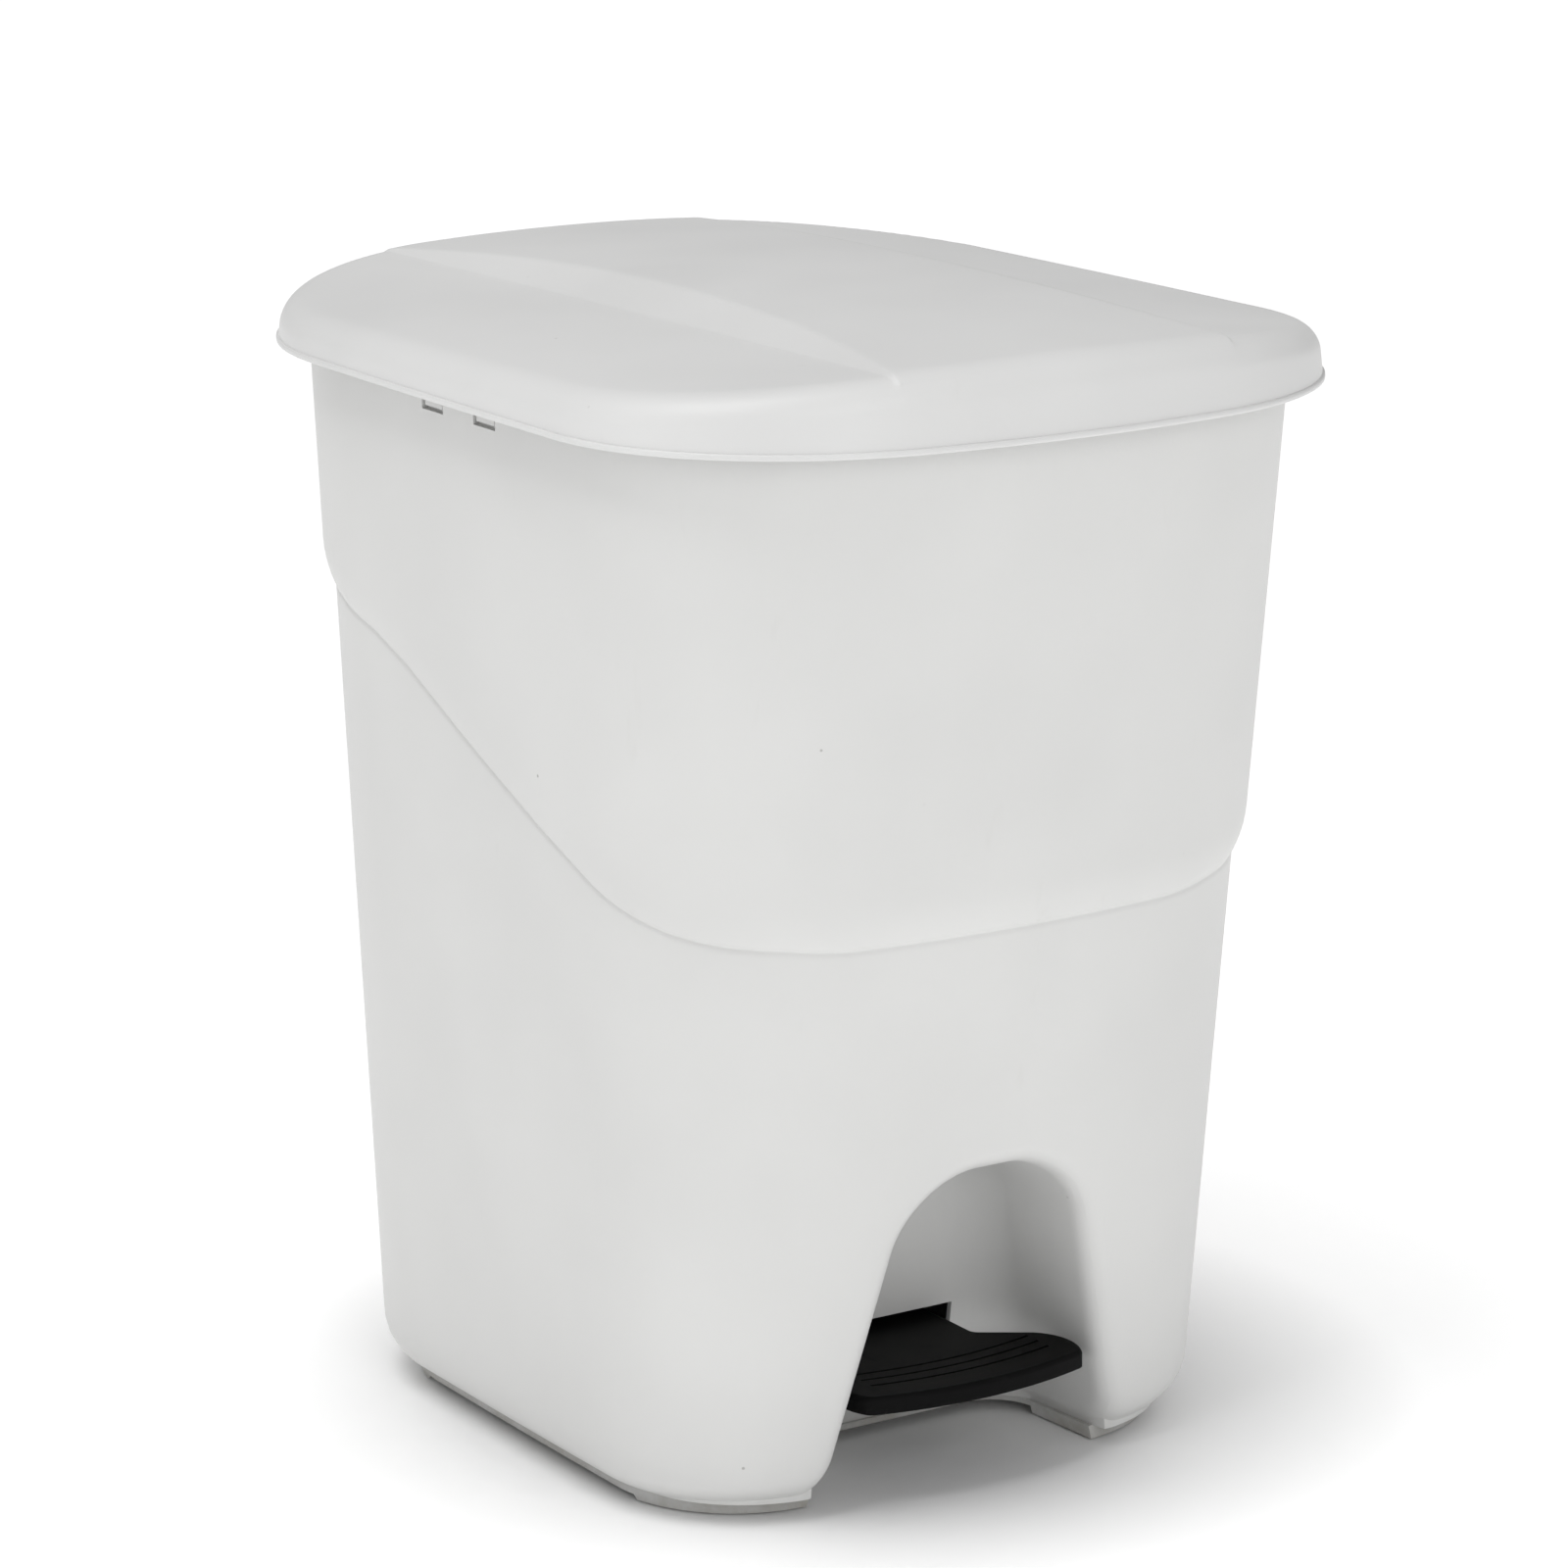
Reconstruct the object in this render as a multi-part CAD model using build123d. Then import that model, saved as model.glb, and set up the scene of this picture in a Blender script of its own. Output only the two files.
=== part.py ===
"""Pedal bin of about 25 litres, rebuilt as its separate pieces.

Frame: millimetres, +Z up, origin on the floor under the middle of the lid,
front of the bin (the pedal) toward -Y, hinge side toward +Y.
"""

import os
from math import asin, atan2, cos, degrees, hypot, radians, sin, sqrt, tan

from build123d import *

os.makedirs("parts", exist_ok=True)

# ---- overall sizes -------------------------------------------------------
REF_Z = 445.0            # height at which the outline below is given
HALF_WIDTH = 154.2       # body half width at REF_Z
FRONT = 187.5            # body front at REF_Z, measured from the origin
BACK = 187.5             # body back at REF_Z
SIDE_TAPER = 0.036       # how much each wall leans in, per mm going down
FRONT_TAPER = 0.111
BACK_TAPER = 0.085
WALL = 2.5               # moulded wall of body and lid
STEP = 4.0               # inset of the lower body below the upper band
RIM_Z = 434.5            # top of the body wall
BODY_FOOT_Z = 6.5        # underside of the body, resting on the base plate
FOOT_ROUND = 20.0        # rounding of the body's bottom edge

# ---- clearances every fit is tied to -------------------------------------
RUN = 0.05               # radial running clearance of a pin in its bore
GAP = 0.4                # air between bodies that move past each other
PLAY = 0.4               # air left round pins that wander in a slot or hole
BUCKET_LIFT = 2.0        # how far the bucket can rise under the shut lid

# ---- lid, hinge and lift linkage -----------------------------------------
LID_OVERHANG = 12.4      # lid bead outside the body outline
LID_BEAD = 0.8
LID_RIM_Z = 428.0
LID_TOP = 455.2          # top of the lid's outer panels on the centre line
CROWN_DROP = 9.4506      # fall of the lid's top from its middle to the body's side
LID_CROWN_R = HALF_WIDTH ** 2 / (2 * CROWN_DROP)
LID_FALL = 0.79          # degrees the top falls toward the hinge
PANEL_HALF = 76.0        # half width of the raised middle panel
PANEL_RISE = 8.3         # how far the middle panel arches above the rest
PANEL_LENGTH = 190.0     # half length over which it fades out
HINGE_Y = BACK + 4.0
HINGE_Z = 433.0
HINGE_PIN_R = 2.0
KNUCKLE_R = 4.2
LID_OPEN = 75.0          # degrees
LIFT_ARM = 24.0          # hinge to lift pin
LIFT_START = 32.4        # degrees the arm points down with the lid shut
LIFT_PIN_R = 2.0
LEVER_REAR = 140.0       # pivot to rod hole
PIVOT_Z = 45.0
AXLE_R = 3.0
ROD_R = 2.5

# ---- linkage worked out from the lengths above ---------------------------
HALF_SWING = LID_OPEN / 2
ROD_TRAVEL = 2 * LIFT_ARM * sin(radians(HALF_SWING))
LIFT_SAG = LIFT_ARM * (1 - cos(radians(HALF_SWING)))
LEAN = LIFT_START - HALF_SWING           # negative: chord leans to the hinge
LEAN = -LEAN
PIN_Y = HINGE_Y - LIFT_ARM * cos(radians(LIFT_START))
PIN_Z = HINGE_Z - LIFT_ARM * sin(radians(LIFT_START))
YOKE_Y = PIN_Y - LIFT_SAG / 2 * cos(radians(LEAN))
YOKE_Z = PIN_Z + LIFT_SAG / 2 * sin(radians(LEAN))
PRESS = 2 * degrees(asin(ROD_TRAVEL / 2 / LEVER_REAR))
LEVER_SAG = LEVER_REAR * (1 - cos(radians(PRESS / 2)))
LEVER_REST = LEAN + PRESS / 2            # degrees the rear arm points down
HOLE_Z = PIVOT_Z - LEVER_REAR * sin(radians(LEVER_REST))
HOLE_Y = YOKE_Y + (HOLE_Z - YOKE_Z) * tan(radians(LEAN)) - LEVER_SAG / 2
PIVOT_Y = HOLE_Y - LEVER_REAR * cos(radians(LEVER_REST))


def rod_y(z):
    """Y of the push rod's centre line at a height."""
    return YOKE_Y + (z - YOKE_Z) * tan(radians(LEAN))


# ---- shape helpers -------------------------------------------------------
def block(x0, x1, y0, y1, z0, z1):
    """Box between two corners."""
    middle = Pos((x0 + x1) / 2, (y0 + y1) / 2, (z0 + z1) / 2)
    return middle * Box(x1 - x0, y1 - y0, z1 - z0)


def x_cylinder(radius, x0, x1, y, z):
    """Round bar lying along X."""
    return Pos((x0 + x1) / 2, y, z) * Rot(0, 90, 0) * Cylinder(radius, x1 - x0)


def z_cylinder(radius, x, y, z0, z1):
    """Upright round bar."""
    return Pos(x, y, (z0 + z1) / 2) * Cylinder(radius, z1 - z0)


def side_plate(x0, x1, points):
    """Plate with a corner list in Y and Z, lying between two X values."""
    face = Face(Wire.make_polygon([(x0, y, z) for y, z in points], close=True))
    return extrude(face, amount=x1 - x0, dir=(1, 0, 0))


def rounded_plan(z, half, front, back, corner, bows):
    """Outline of four shallow arcs joined by tangent corner arcs."""
    side_bow, front_bow, back_bow = bows
    length = (front + back) / 2
    centre_y = (back - front) / 2

    def radius(chord, bow):
        return (chord * chord + bow * bow) / (2 * bow)

    side_r = radius(length, side_bow)
    front_r = radius(half, front_bow)
    back_r = radius(half, back_bow)
    side_c = (half - side_r, centre_y)
    front_c = (0, -front + front_r)
    back_c = (0, back - back_r)

    def meet(c1, r1, c2, r2, toward):
        dx, dy = c2[0] - c1[0], c2[1] - c1[1]
        gap = hypot(dx, dy)
        along = (r1 * r1 - r2 * r2 + gap * gap) / (2 * gap)
        off = sqrt(r1 * r1 - along * along)
        ux, uy = dx / gap, dy / gap
        found = [
            (c1[0] + ux * along - uy * off * k, c1[1] + uy * along + ux * off * k)
            for k in (1, -1)
        ]
        return max(found, key=lambda p: p[0] + toward * p[1])

    def reach(centre, through, r):
        dx, dy = through[0] - centre[0], through[1] - centre[1]
        d = hypot(dx, dy)
        return (centre[0] + dx * r / d, centre[1] + dy * r / d)

    def between(centre, p, q, r):
        return reach(centre, ((p[0] + q[0]) / 2, (p[1] + q[1]) / 2), r)

    front_k = meet(side_c, side_r - corner, front_c, front_r - corner, -1)
    back_k = meet(side_c, side_r - corner, back_c, back_r - corner, 1)
    f1 = reach(front_c, front_k, front_r)
    s1 = reach(side_c, front_k, side_r)
    s2 = reach(side_c, back_k, side_r)
    b1 = reach(back_c, back_k, back_r)
    turn1 = between(front_k, f1, s1, corner)
    flank = between(side_c, s1, s2, side_r)
    turn2 = between(back_k, s2, b1, corner)

    def right(p):
        return (p[0], p[1], z)

    def left(p):
        return (-p[0], p[1], z)

    arcs = [
        ThreePointArc(left(f1), (0, -front, z), right(f1)),
        ThreePointArc(right(f1), right(turn1), right(s1)),
        ThreePointArc(right(s1), right(flank), right(s2)),
        ThreePointArc(right(s2), right(turn2), right(b1)),
        ThreePointArc(right(b1), (0, back, z), left(b1)),
        ThreePointArc(left(b1), left(turn2), left(s2)),
        ThreePointArc(left(s2), left(flank), left(s1)),
        ThreePointArc(left(s1), left(turn1), left(f1)),
    ]
    return Face(Wire(arcs))


def body_plan(z, grow):
    """Body outline at a height, moved outward by grow."""
    drop = REF_Z - z
    share = drop / REF_Z
    return rounded_plan(
        z,
        HALF_WIDTH - SIDE_TAPER * drop + grow,
        FRONT - FRONT_TAPER * drop + grow,
        BACK - BACK_TAPER * drop + grow,
        104.0 - 32.5 * share + grow,
        (3.2 - 1.7 * share, 25.0 - 13.0 * share, 2.0),
    )


def tub(grow, z0, z1):
    """Solid inside the body outline between two heights."""
    whole = loft([body_plan(0, grow), body_plan(REF_Z, grow)], ruled=True)
    return whole & block(-250, 250, -250, 250, z0, z1)


def prism(grow, z0, z1):
    """Upright solid on the body's floor outline."""
    return Pos(0, 0, z0) * extrude(body_plan(0, grow), amount=z1 - z0)


def bottom_edges(solid, z):
    """Edges lying at a height."""
    return solid.edges().filter_by_position(Axis.Z, z - 0.01, z + 0.01)


# ---- foot niche ----------------------------------------------------------
NICHE_TOP = 136.0
NICHE_HALF = 71.0        # half width at the floor, at the mouth
NICHE_SIDE = 0.253       # how the sides lean in, per mm going up
NICHE_BACK = -62.0       # back wall at the floor
SLOT_HALF = 33.0
SLOT_LOW = 17.0
SLOT_HIGH = 51.0


def niche(grow):
    """Arched alcove in the front, open at the floor, sides drafted."""
    top = NICHE_TOP + grow
    half = NICHE_HALF + grow * 1.03
    half_top = NICHE_HALF - NICHE_SIDE * NICHE_TOP + grow * 0.8

    def arch(y_low, y_high, narrower, drop):
        return Face(
            Wire.make_polygon(
                [
                    (-half + narrower, y_low, -5),
                    (half - narrower, y_low, -5),
                    (half_top - narrower, y_high, top - drop),
                    (-half_top + narrower, y_high, top - drop),
                ],
                close=True,
            )
        )

    back = NICHE_BACK + grow
    shape = loft([arch(-220, -220, -5, -4), arch(back, back - 18, 7, 8)], ruled=True)
    long_top = shape.edges().filter_by(
        lambda e: abs(e.center().Y + 141) < 30 and e.center().Z > 100 and e.length > 100
    )
    shape = fillet(long_top, 28 + grow)
    rear = shape.edges().filter_by(
        lambda e: e.bounding_box().min.Y > back - 30 and e.center().Z > 0
    )
    return fillet(rear, 20 + grow)


# ---- body shell ----------------------------------------------------------
BAND_LINE = [
    (-240, 231.0),
    (-150, 231.5),
    (-100, 247.5),
    (0, 289.0),
    (60, 315.5),
    (120, 331.0),
    (180, 334.0),
    (240, 334.0),
]


def above_band(lift):
    """Everything above the flowing line where the wall steps in."""
    line = Spline([(0, y, z + lift) for y, z in BAND_LINE], tangents=[(0, 1, 0), (0, 1, 0)])
    rest = Polyline(
        (0, 240, BAND_LINE[-1][1] + lift),
        (0, 240, 520),
        (0, -240, 520),
        (0, -240, BAND_LINE[0][1] + lift),
    )
    return extrude(Face(Wire([*line.edges(), *rest.edges()])), amount=260, both=True)


def lower_tub(inset):
    """Lower body with its rounded bottom edge, moved inward by inset."""
    floor = BODY_FOOT_Z - 1.3 + inset
    solid = tub(-STEP - inset, floor, RIM_Z + 1)
    return fillet(bottom_edges(solid, floor), FOOT_ROUND - inset)


band = tub(0, 200, RIM_Z + 1) & above_band(0)
outer = (lower_tub(0) + band) & block(-250, 250, -250, 250, BODY_FOOT_Z, RIM_Z)

cavity = lower_tub(WALL) & block(-250, 250, -250, 250, BODY_FOOT_Z + WALL, RIM_Z + 1)
cavity = cavity + (tub(-WALL, 200, RIM_Z + 1) & above_band(WALL + 4))
NICHE_AIR = niche(0)
NICHE_WALL = niche(WALL)
hollow = cavity - NICHE_WALL

body = outer - hollow - NICHE_AIR
opening = tub(-34, 0, 20) - niche(14)
body = body - opening
body = body - block(-SLOT_HALF, SLOT_HALF, -90, -40, SLOT_LOW, SLOT_HIGH)

# windows that take the hooks of the bucket frame, two in each side wall
WINDOW_Y = (12.5, -26.5)
WINDOW_LOW = 419.5
WINDOW_HIGH = 428.5
WINDOW_WIDTH = 16.0
WINDOW_IN = HALF_WIDTH - 14.2
WINDOW_OUT = HALF_WIDTH + 10.8
for side in (-1, 1):
    for y in WINDOW_Y:
        y0, y1 = y - WINDOW_WIDTH / 2, y + WINDOW_WIDTH / 2
        cut = block(WINDOW_IN, WINDOW_OUT, y0, y1, WINDOW_LOW, WINDOW_HIGH)
        body = body - (cut if side > 0 else mirror(cut, Plane.YZ))

# hinge ears on the back wall, just under the lid
EARS = ((16, 22), (44, 52))
for side in (-1, 1):
    for x0, x1 in EARS:
        a, b = sorted((side * x0, side * x1))
        ear = x_cylinder(KNUCKLE_R, a, b, HINGE_Y, HINGE_Z)
        web = block(a, b, HINGE_Y - 6.5, HINGE_Y, HINGE_Z - KNUCKLE_R, HINGE_Z + 1)
        body = body + ((ear + web) - cavity)
body = body - x_cylinder(HINGE_PIN_R, -60, 60, HINGE_Y, HINGE_Z)

# screw bosses for the base plate, standing on the inward flange
BOSS_X = HALF_WIDTH - 42.2
BOSS_Y = BACK - 63.5
BASE_SCREWS = [
    (BOSS_X, -52),
    (BOSS_X, 62),
    (48, BOSS_Y),
    (-BOSS_X, -52),
    (-BOSS_X, 62),
    (-48, BOSS_Y),
]
SCREW_R = 1.8
for x, y in BASE_SCREWS:
    body = body + z_cylinder(5, x, y, BODY_FOOT_Z, 18)
for x, y in BASE_SCREWS:
    body = body - z_cylinder(SCREW_R, x, y, BODY_FOOT_Z - 1, 15)

# ---- base plate with corner feet, and its pads and screws ----------------
PLINTH = -(STEP + 13.3)
PLATE_LOW = BODY_FOOT_Z - WALL
plate = prism(PLINTH, PLATE_LOW, BODY_FOOT_Z)
rim = prism(PLINTH, 2.5, PLATE_LOW) - prism(PLINTH - 2.5, 2.0, PLATE_LOW + 1)
foot_ring = prism(PLINTH, 0.8, PLATE_LOW) - prism(PLINTH - 34, 0, PLATE_LOW + 1)
FRONT_FOOT_Y = -(FRONT - 111.5)  # where the 45 degree steps of the feet begin
REAR_FOOT_Y = BACK - 99.5
front_step = [(-FRONT, 0), (FRONT_FOOT_Y, 0), (FRONT_FOOT_Y + 5, 5), (-FRONT, 5)]
rear_step = [(BACK, 0), (REAR_FOOT_Y, 0), (REAR_FOOT_Y - 5, 5), (BACK, 5)]
front_feet = foot_ring & side_plate(-HALF_WIDTH, HALF_WIDTH, front_step)
rear_feet = foot_ring & side_plate(-HALF_WIDTH, HALF_WIDTH, rear_step)
rear_feet = rear_feet - block(-52, 52, REAR_FOOT_Y - 28, BACK, -1, 6)
base = plate + rim + front_feet + rear_feet
base = base - niche(1.0)
FRONT_PAD = (HALF_WIDTH - 68.2, -(FRONT - 93.5))
REAR_PAD = (HALF_WIDTH - 70.2, BACK - 83.5)
PADS = [FRONT_PAD, (-FRONT_PAD[0], FRONT_PAD[1]), REAR_PAD, (-REAR_PAD[0], REAR_PAD[1])]
pads = []
for x, y in PADS:
    base = base - z_cylinder(9, x, y, -1, 2.4)
    pads.append(z_cylinder(9, x, y, 0, 2.4))
foot_pads = Compound([p.solid() for p in pads])

screws = []
for x, y in BASE_SCREWS:
    base = base - z_cylinder(SCREW_R, x, y, 0, 10)
    screw = z_cylinder(SCREW_R, x, y, PLATE_LOW, 14.5) + z_cylinder(3.8, x, y, 1.8, PLATE_LOW)
    base = base - z_cylinder(3.8, x, y, 0, PLATE_LOW)
    screws.append(screw.solid())
base_screws = Compound(screws)

# ---- pedal lever: steel channel on a nylon bush --------------------------
LEVER_HALF = 12.5
SHEET = 2.5
WEB_TOP = 42.0           # front end of the channel, under the tread
LEVER_FRONT = -126.0
WEB_CLEAR = 35.095       # from the end of the level web to the pivot
WEB_END = PIVOT_Y - WEB_CLEAR
profile = [
    (LEVER_FRONT, 35),
    (-62, 33),
    (PIVOT_Y - 6, PIVOT_Z - 9),
    (PIVOT_Y + 8, PIVOT_Z - 9),
    (HOLE_Y - 8, HOLE_Z - 5),
    (HOLE_Y - 8, HOLE_Z + 9),
    (PIVOT_Y + 8, PIVOT_Z + 7),
    (PIVOT_Y - 6, PIVOT_Z + 7),
    (WEB_END, WEB_TOP),
    (LEVER_FRONT, WEB_TOP),
]
inside = [
    (LEVER_FRONT - 5, 20),
    (LEVER_FRONT - 5, WEB_TOP - 2),
    (WEB_END - 1, WEB_TOP - 2),
    (PIVOT_Y - 6, PIVOT_Z + 5),
    (PIVOT_Y + 8, PIVOT_Z + 5),
    (HOLE_Y - 2, HOLE_Z + 6),
    (HOLE_Y - 2, 0),
    (LEVER_FRONT - 5, 0),
]
lever = side_plate(-LEVER_HALF, LEVER_HALF, profile)
lever = lever - side_plate(-LEVER_HALF + SHEET, LEVER_HALF - SHEET, inside)
tongue = side_plate(
    LEVER_HALF - SHEET,
    LEVER_HALF,
    [(HOLE_Y - 12, HOLE_Z - 4), (HOLE_Y, HOLE_Z - 6), (HOLE_Y, HOLE_Z + 6), (HOLE_Y - 12, HOLE_Z + 8)],
)
tongue = tongue + x_cylinder(7, LEVER_HALF - SHEET, LEVER_HALF, HOLE_Y, HOLE_Z)
lever = lever + tongue
BUSH_R = 5.0
lever = lever - x_cylinder(BUSH_R, -30, 30, PIVOT_Y, PIVOT_Z)
HOLE_R = ROD_R + LEVER_SAG / 2 + PLAY
lever = lever - x_cylinder(HOLE_R, 0, 30, HOLE_Y, HOLE_Z)
TREAD_SCREWS = [-112.0, -84.0]
for y in TREAD_SCREWS:
    lever = lever - z_cylinder(SCREW_R, 0, y, 30, 60)

BRACKET_X = 20.0
bush_length = BRACKET_X - GAP
lever_bush = x_cylinder(BUSH_R, -bush_length, bush_length, PIVOT_Y, PIVOT_Z)
lever_bush = lever_bush - x_cylinder(AXLE_R + RUN, -60, 60, PIVOT_Y, PIVOT_Z)

# ---- tread: hollow moulding with a neck that goes in through the slot ----
TREAD_TOP = 47.0
TREAD_SKIN = 2.5
TREAD_LOW = 40.0
NECK_HALF = 27.0
NECK_CLEAR = 39.095      # from the end of the neck to the pivot
NECK_END = PIVOT_Y - NECK_CLEAR


def tread_plan(z, inset):
    """Outline of the tread and its neck, moved inward by inset."""
    front_y = -135 + inset
    corner_x = 50 - inset
    waist = NECK_HALF - inset
    end_y = NECK_END + 4 * inset

    def edges(sign):
        belly = ThreePointArc(
            (sign * corner_x, front_y, z), (sign * (54 - inset), -119, z), (sign * (47 - inset), -106, z)
        )
        shoulder = Line((sign * (47 - inset), -106, z), (sign * waist, -93 + inset, z))
        neck = Line((sign * waist, -93 + inset, z), (sign * waist, end_y, z))
        return [*belly.edges(), *shoulder.edges(), *neck.edges()]

    bow = ThreePointArc((-corner_x, front_y, z), (0, -142.5 + inset, z), (corner_x, front_y, z))
    tail = Line((-waist, end_y, z), (waist, end_y, z))
    return Face(Wire([*bow.edges(), *edges(1), *edges(-1), *tail.edges()]))


tread = extrude(tread_plan(TREAD_LOW, 0), amount=TREAD_TOP - TREAD_LOW)
tread = fillet(tread.edges().filter_by(Axis.Z).filter_by(lambda e: e.center().Y < -130), 5)
tread = fillet(tread.edges().filter_by(Axis.Z).filter_by(lambda e: -108 < e.center().Y < -90), 4)
top_rim = tread.edges().filter_by_position(Axis.Z, TREAD_TOP - 0.01, TREAD_TOP + 0.01)
tread = fillet(top_rim.filter_by(lambda e: e.center().Y < -60), 2.0)
tread = tread - extrude(tread_plan(TREAD_LOW - 1, TREAD_SKIN), amount=TREAD_TOP - TREAD_LOW + 1 - TREAD_SKIN)
for y in TREAD_SCREWS:
    tread = tread + z_cylinder(4.5, 0, y, WEB_TOP, TREAD_TOP - 1)
for k in range(3):
    reach = 128 - 7 * k
    arc_r = 180.0
    ring = Pos(0, -reach + arc_r, TREAD_TOP) * (Cylinder(arc_r + 0.7, 1.4) - Cylinder(arc_r - 0.7, 1.4))
    tread = tread - (ring & block(-42, 42, -150, -90, TREAD_TOP - 0.7, TREAD_TOP + 1))
for y in TREAD_SCREWS:
    tread = tread - z_cylinder(SCREW_R, 0, y, 30, TREAD_TOP - 1.2)

fasteners = []
for y in TREAD_SCREWS:
    screw = z_cylinder(SCREW_R, 0, y, WEB_TOP - 2, TREAD_TOP - 1.4)
    screw = screw + z_cylinder(3.5, 0, y, WEB_TOP - 4.2, WEB_TOP - 2)
    fasteners.append(screw.solid())
tread_screws = Compound(fasteners)

# ---- axle, clips, brackets ------------------------------------------------
AXLE_HALF = 27.0
axle = x_cylinder(AXLE_R, -AXLE_HALF, AXLE_HALF, PIVOT_Y, PIVOT_Z)
clip_groove = Cylinder(AXLE_R, 1.0) - Cylinder(AXLE_R - 0.6, 1.0)
clips = []
for side in (-1, 1):
    x = side * 24.0
    groove = Pos(x, PIVOT_Y, PIVOT_Z) * Rot(0, 90, 0) * clip_groove
    axle = axle - groove
    clip = x_cylinder(6.0, x - 0.5, x + 0.5, PIVOT_Y, PIVOT_Z)
    clip = clip - x_cylinder(AXLE_R - 0.6, x - 1, x + 1, PIVOT_Y, PIVOT_Z)
    clip = clip - block(x - 1, x + 1, PIVOT_Y - 1.6, PIVOT_Y + 1.6, PIVOT_Z - 8, PIVOT_Z)
    clips.append(clip.solid())
axle_clips = Compound(clips)

BRACKET_SCREWS = (-16.0, 16.0)


def bracket(side):
    """Upright steel bracket with a foot turned outward."""
    x0, x1 = BRACKET_X, BRACKET_X + 3.0
    upright = side_plate(
        x0,
        x1,
        [
            (PIVOT_Y - 24, BODY_FOOT_Z),
            (PIVOT_Y + 24, BODY_FOOT_Z),
            (PIVOT_Y + 9, PIVOT_Z + 4),
            (PIVOT_Y + 5, PIVOT_Z + 8),
            (PIVOT_Y - 5, PIVOT_Z + 8),
            (PIVOT_Y - 9, PIVOT_Z + 4),
        ],
    )
    foot = block(x0, x0 + 26, PIVOT_Y - 24, PIVOT_Y + 24, BODY_FOOT_Z, BODY_FOOT_Z + 3)
    part = upright + foot
    part = part - x_cylinder(AXLE_R, 0, 60, PIVOT_Y, PIVOT_Z)
    for y in BRACKET_SCREWS:
        part = part - z_cylinder(SCREW_R, x0 + 15, PIVOT_Y + y, 0, 20)
    return part if side > 0 else mirror(part, Plane.YZ)


bracket_right = bracket(1)
bracket_left = bracket(-1)
holders = []
for side in (-1, 1):
    for y in BRACKET_SCREWS:
        x = side * (BRACKET_X + 15)
        base = base + z_cylinder(5, x, PIVOT_Y + y, 1.2, PLATE_LOW)
        base = base - z_cylinder(SCREW_R, x, PIVOT_Y + y, 1.0, 10)
        screw = z_cylinder(SCREW_R, x, PIVOT_Y + y, 1.6, BODY_FOOT_Z + 3)
        screw = screw + z_cylinder(3.5, x, PIVOT_Y + y, BODY_FOOT_Z + 3, BODY_FOOT_Z + 5.4)
        holders.append(screw.solid())
bracket_screws = Compound(holders)

# ---- push rod with its cross bend, clip, yoke and two guides -------------
TILT = Rot(-LEAN, 0, 0)
YOKE_HALF = 6.5
rod_low_y = rod_y(HOLE_Z)
rod_length = (YOKE_Z - HOLE_Z) / cos(radians(LEAN)) + 3
rod = Pos(0, rod_low_y, HOLE_Z) * TILT * Pos(0, 0, rod_length / 2) * Cylinder(ROD_R, rod_length)
rod = rod + Pos(0, rod_low_y, HOLE_Z) * Sphere(ROD_R)
rod = rod + x_cylinder(ROD_R, 0, 18, rod_low_y, HOLE_Z)
rod_line = Pos(0, rod_low_y, HOLE_Z) * TILT * Cylinder(ROD_R, 1200)

rod_clip = x_cylinder(6.0, LEVER_HALF + 0.5, LEVER_HALF + 2.0, rod_low_y, HOLE_Z)
rod_clip = rod_clip - x_cylinder(ROD_R, 0, 40, rod_low_y, HOLE_Z)

SLOT_HEIGHT = 2 * (LIFT_PIN_R + 0.45 + GAP)
SLOT_LENGTH = LIFT_SAG + 2 * (LIFT_PIN_R + GAP)
YOKE_PLACE = Pos(0, YOKE_Y, YOKE_Z) * TILT
yoke = Box(12, 2 * 9.0, 2 * YOKE_HALF)
yoke = fillet(yoke.edges().filter_by(Axis.X), 2.0)
slot = Box(20, SLOT_LENGTH - SLOT_HEIGHT, SLOT_HEIGHT)
for end in (-1, 1):
    slot = slot + Pos(0, end * (SLOT_LENGTH - SLOT_HEIGHT) / 2, 0) * Rot(0, 90, 0) * Cylinder(SLOT_HEIGHT / 2, 20)
socket = Pos(0, 0, -YOKE_HALF - 10) * Cylinder(ROD_R, 20 + 2 * (YOKE_HALF - SLOT_HEIGHT / 2) - 2.4)
yoke = YOKE_PLACE * (yoke - slot)
rod_top = Pos(0, YOKE_Y, YOKE_Z) * TILT * Pos(0, 0, 50 - SLOT_HEIGHT / 2 - 1.0) * Box(40, 40, 100)
rod = rod - rod_top
yoke = yoke - rod
GUIDES = {"upper": 372.0, "lower": 150.0}
guides = {}
guide_screw_list = []
for name, z in GUIDES.items():
    y = rod_y(z)
    pad = block(-18, 18, y - 7, y + 30, z - 8, z + 8)
    pad = pad - block(-40, -8, y - 20, y + 4, z - 20, z + 20)
    pad = pad - block(8, 40, y - 20, y + 4, z - 20, z + 20)
    pad = pad & cavity
    pad = pad - Pos(0, rod_low_y, HOLE_Z) * TILT * Cylinder(ROD_R + RUN, 1200)
    for x in (-13, 13):
        hole = Pos(x, y, z) * Rot(90, 0, 0) * Cylinder(SCREW_R, 90)
        shank = Pos(x, y + 4 + 8.0, z) * Rot(90, 0, 0) * Cylinder(SCREW_R, 16.0)
        head = Pos(x, y + 4 - 1.2, z) * Rot(90, 0, 0) * Cylinder(3.5, 2.4)
        shank = shank & cavity
        pad = pad - hole
        guide_screw_list.append((shank + head).solid())
    guides[name] = pad
guide_screws = Compound(guide_screw_list)

# ---- inner bucket ---------------------------------------------------------
BUCKET_TOP = RIM_Z + 2 + GAP
BUCKET_FLOOR = 62.0
BUCKET_WALL = 2.2
BUCKET_HALF = HALF_WIDTH - 11.2
BUCKET_FRONT = FRONT - 16.5
BUCKET_BACK = BACK - 35.5  # leaves the push rod its room


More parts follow.
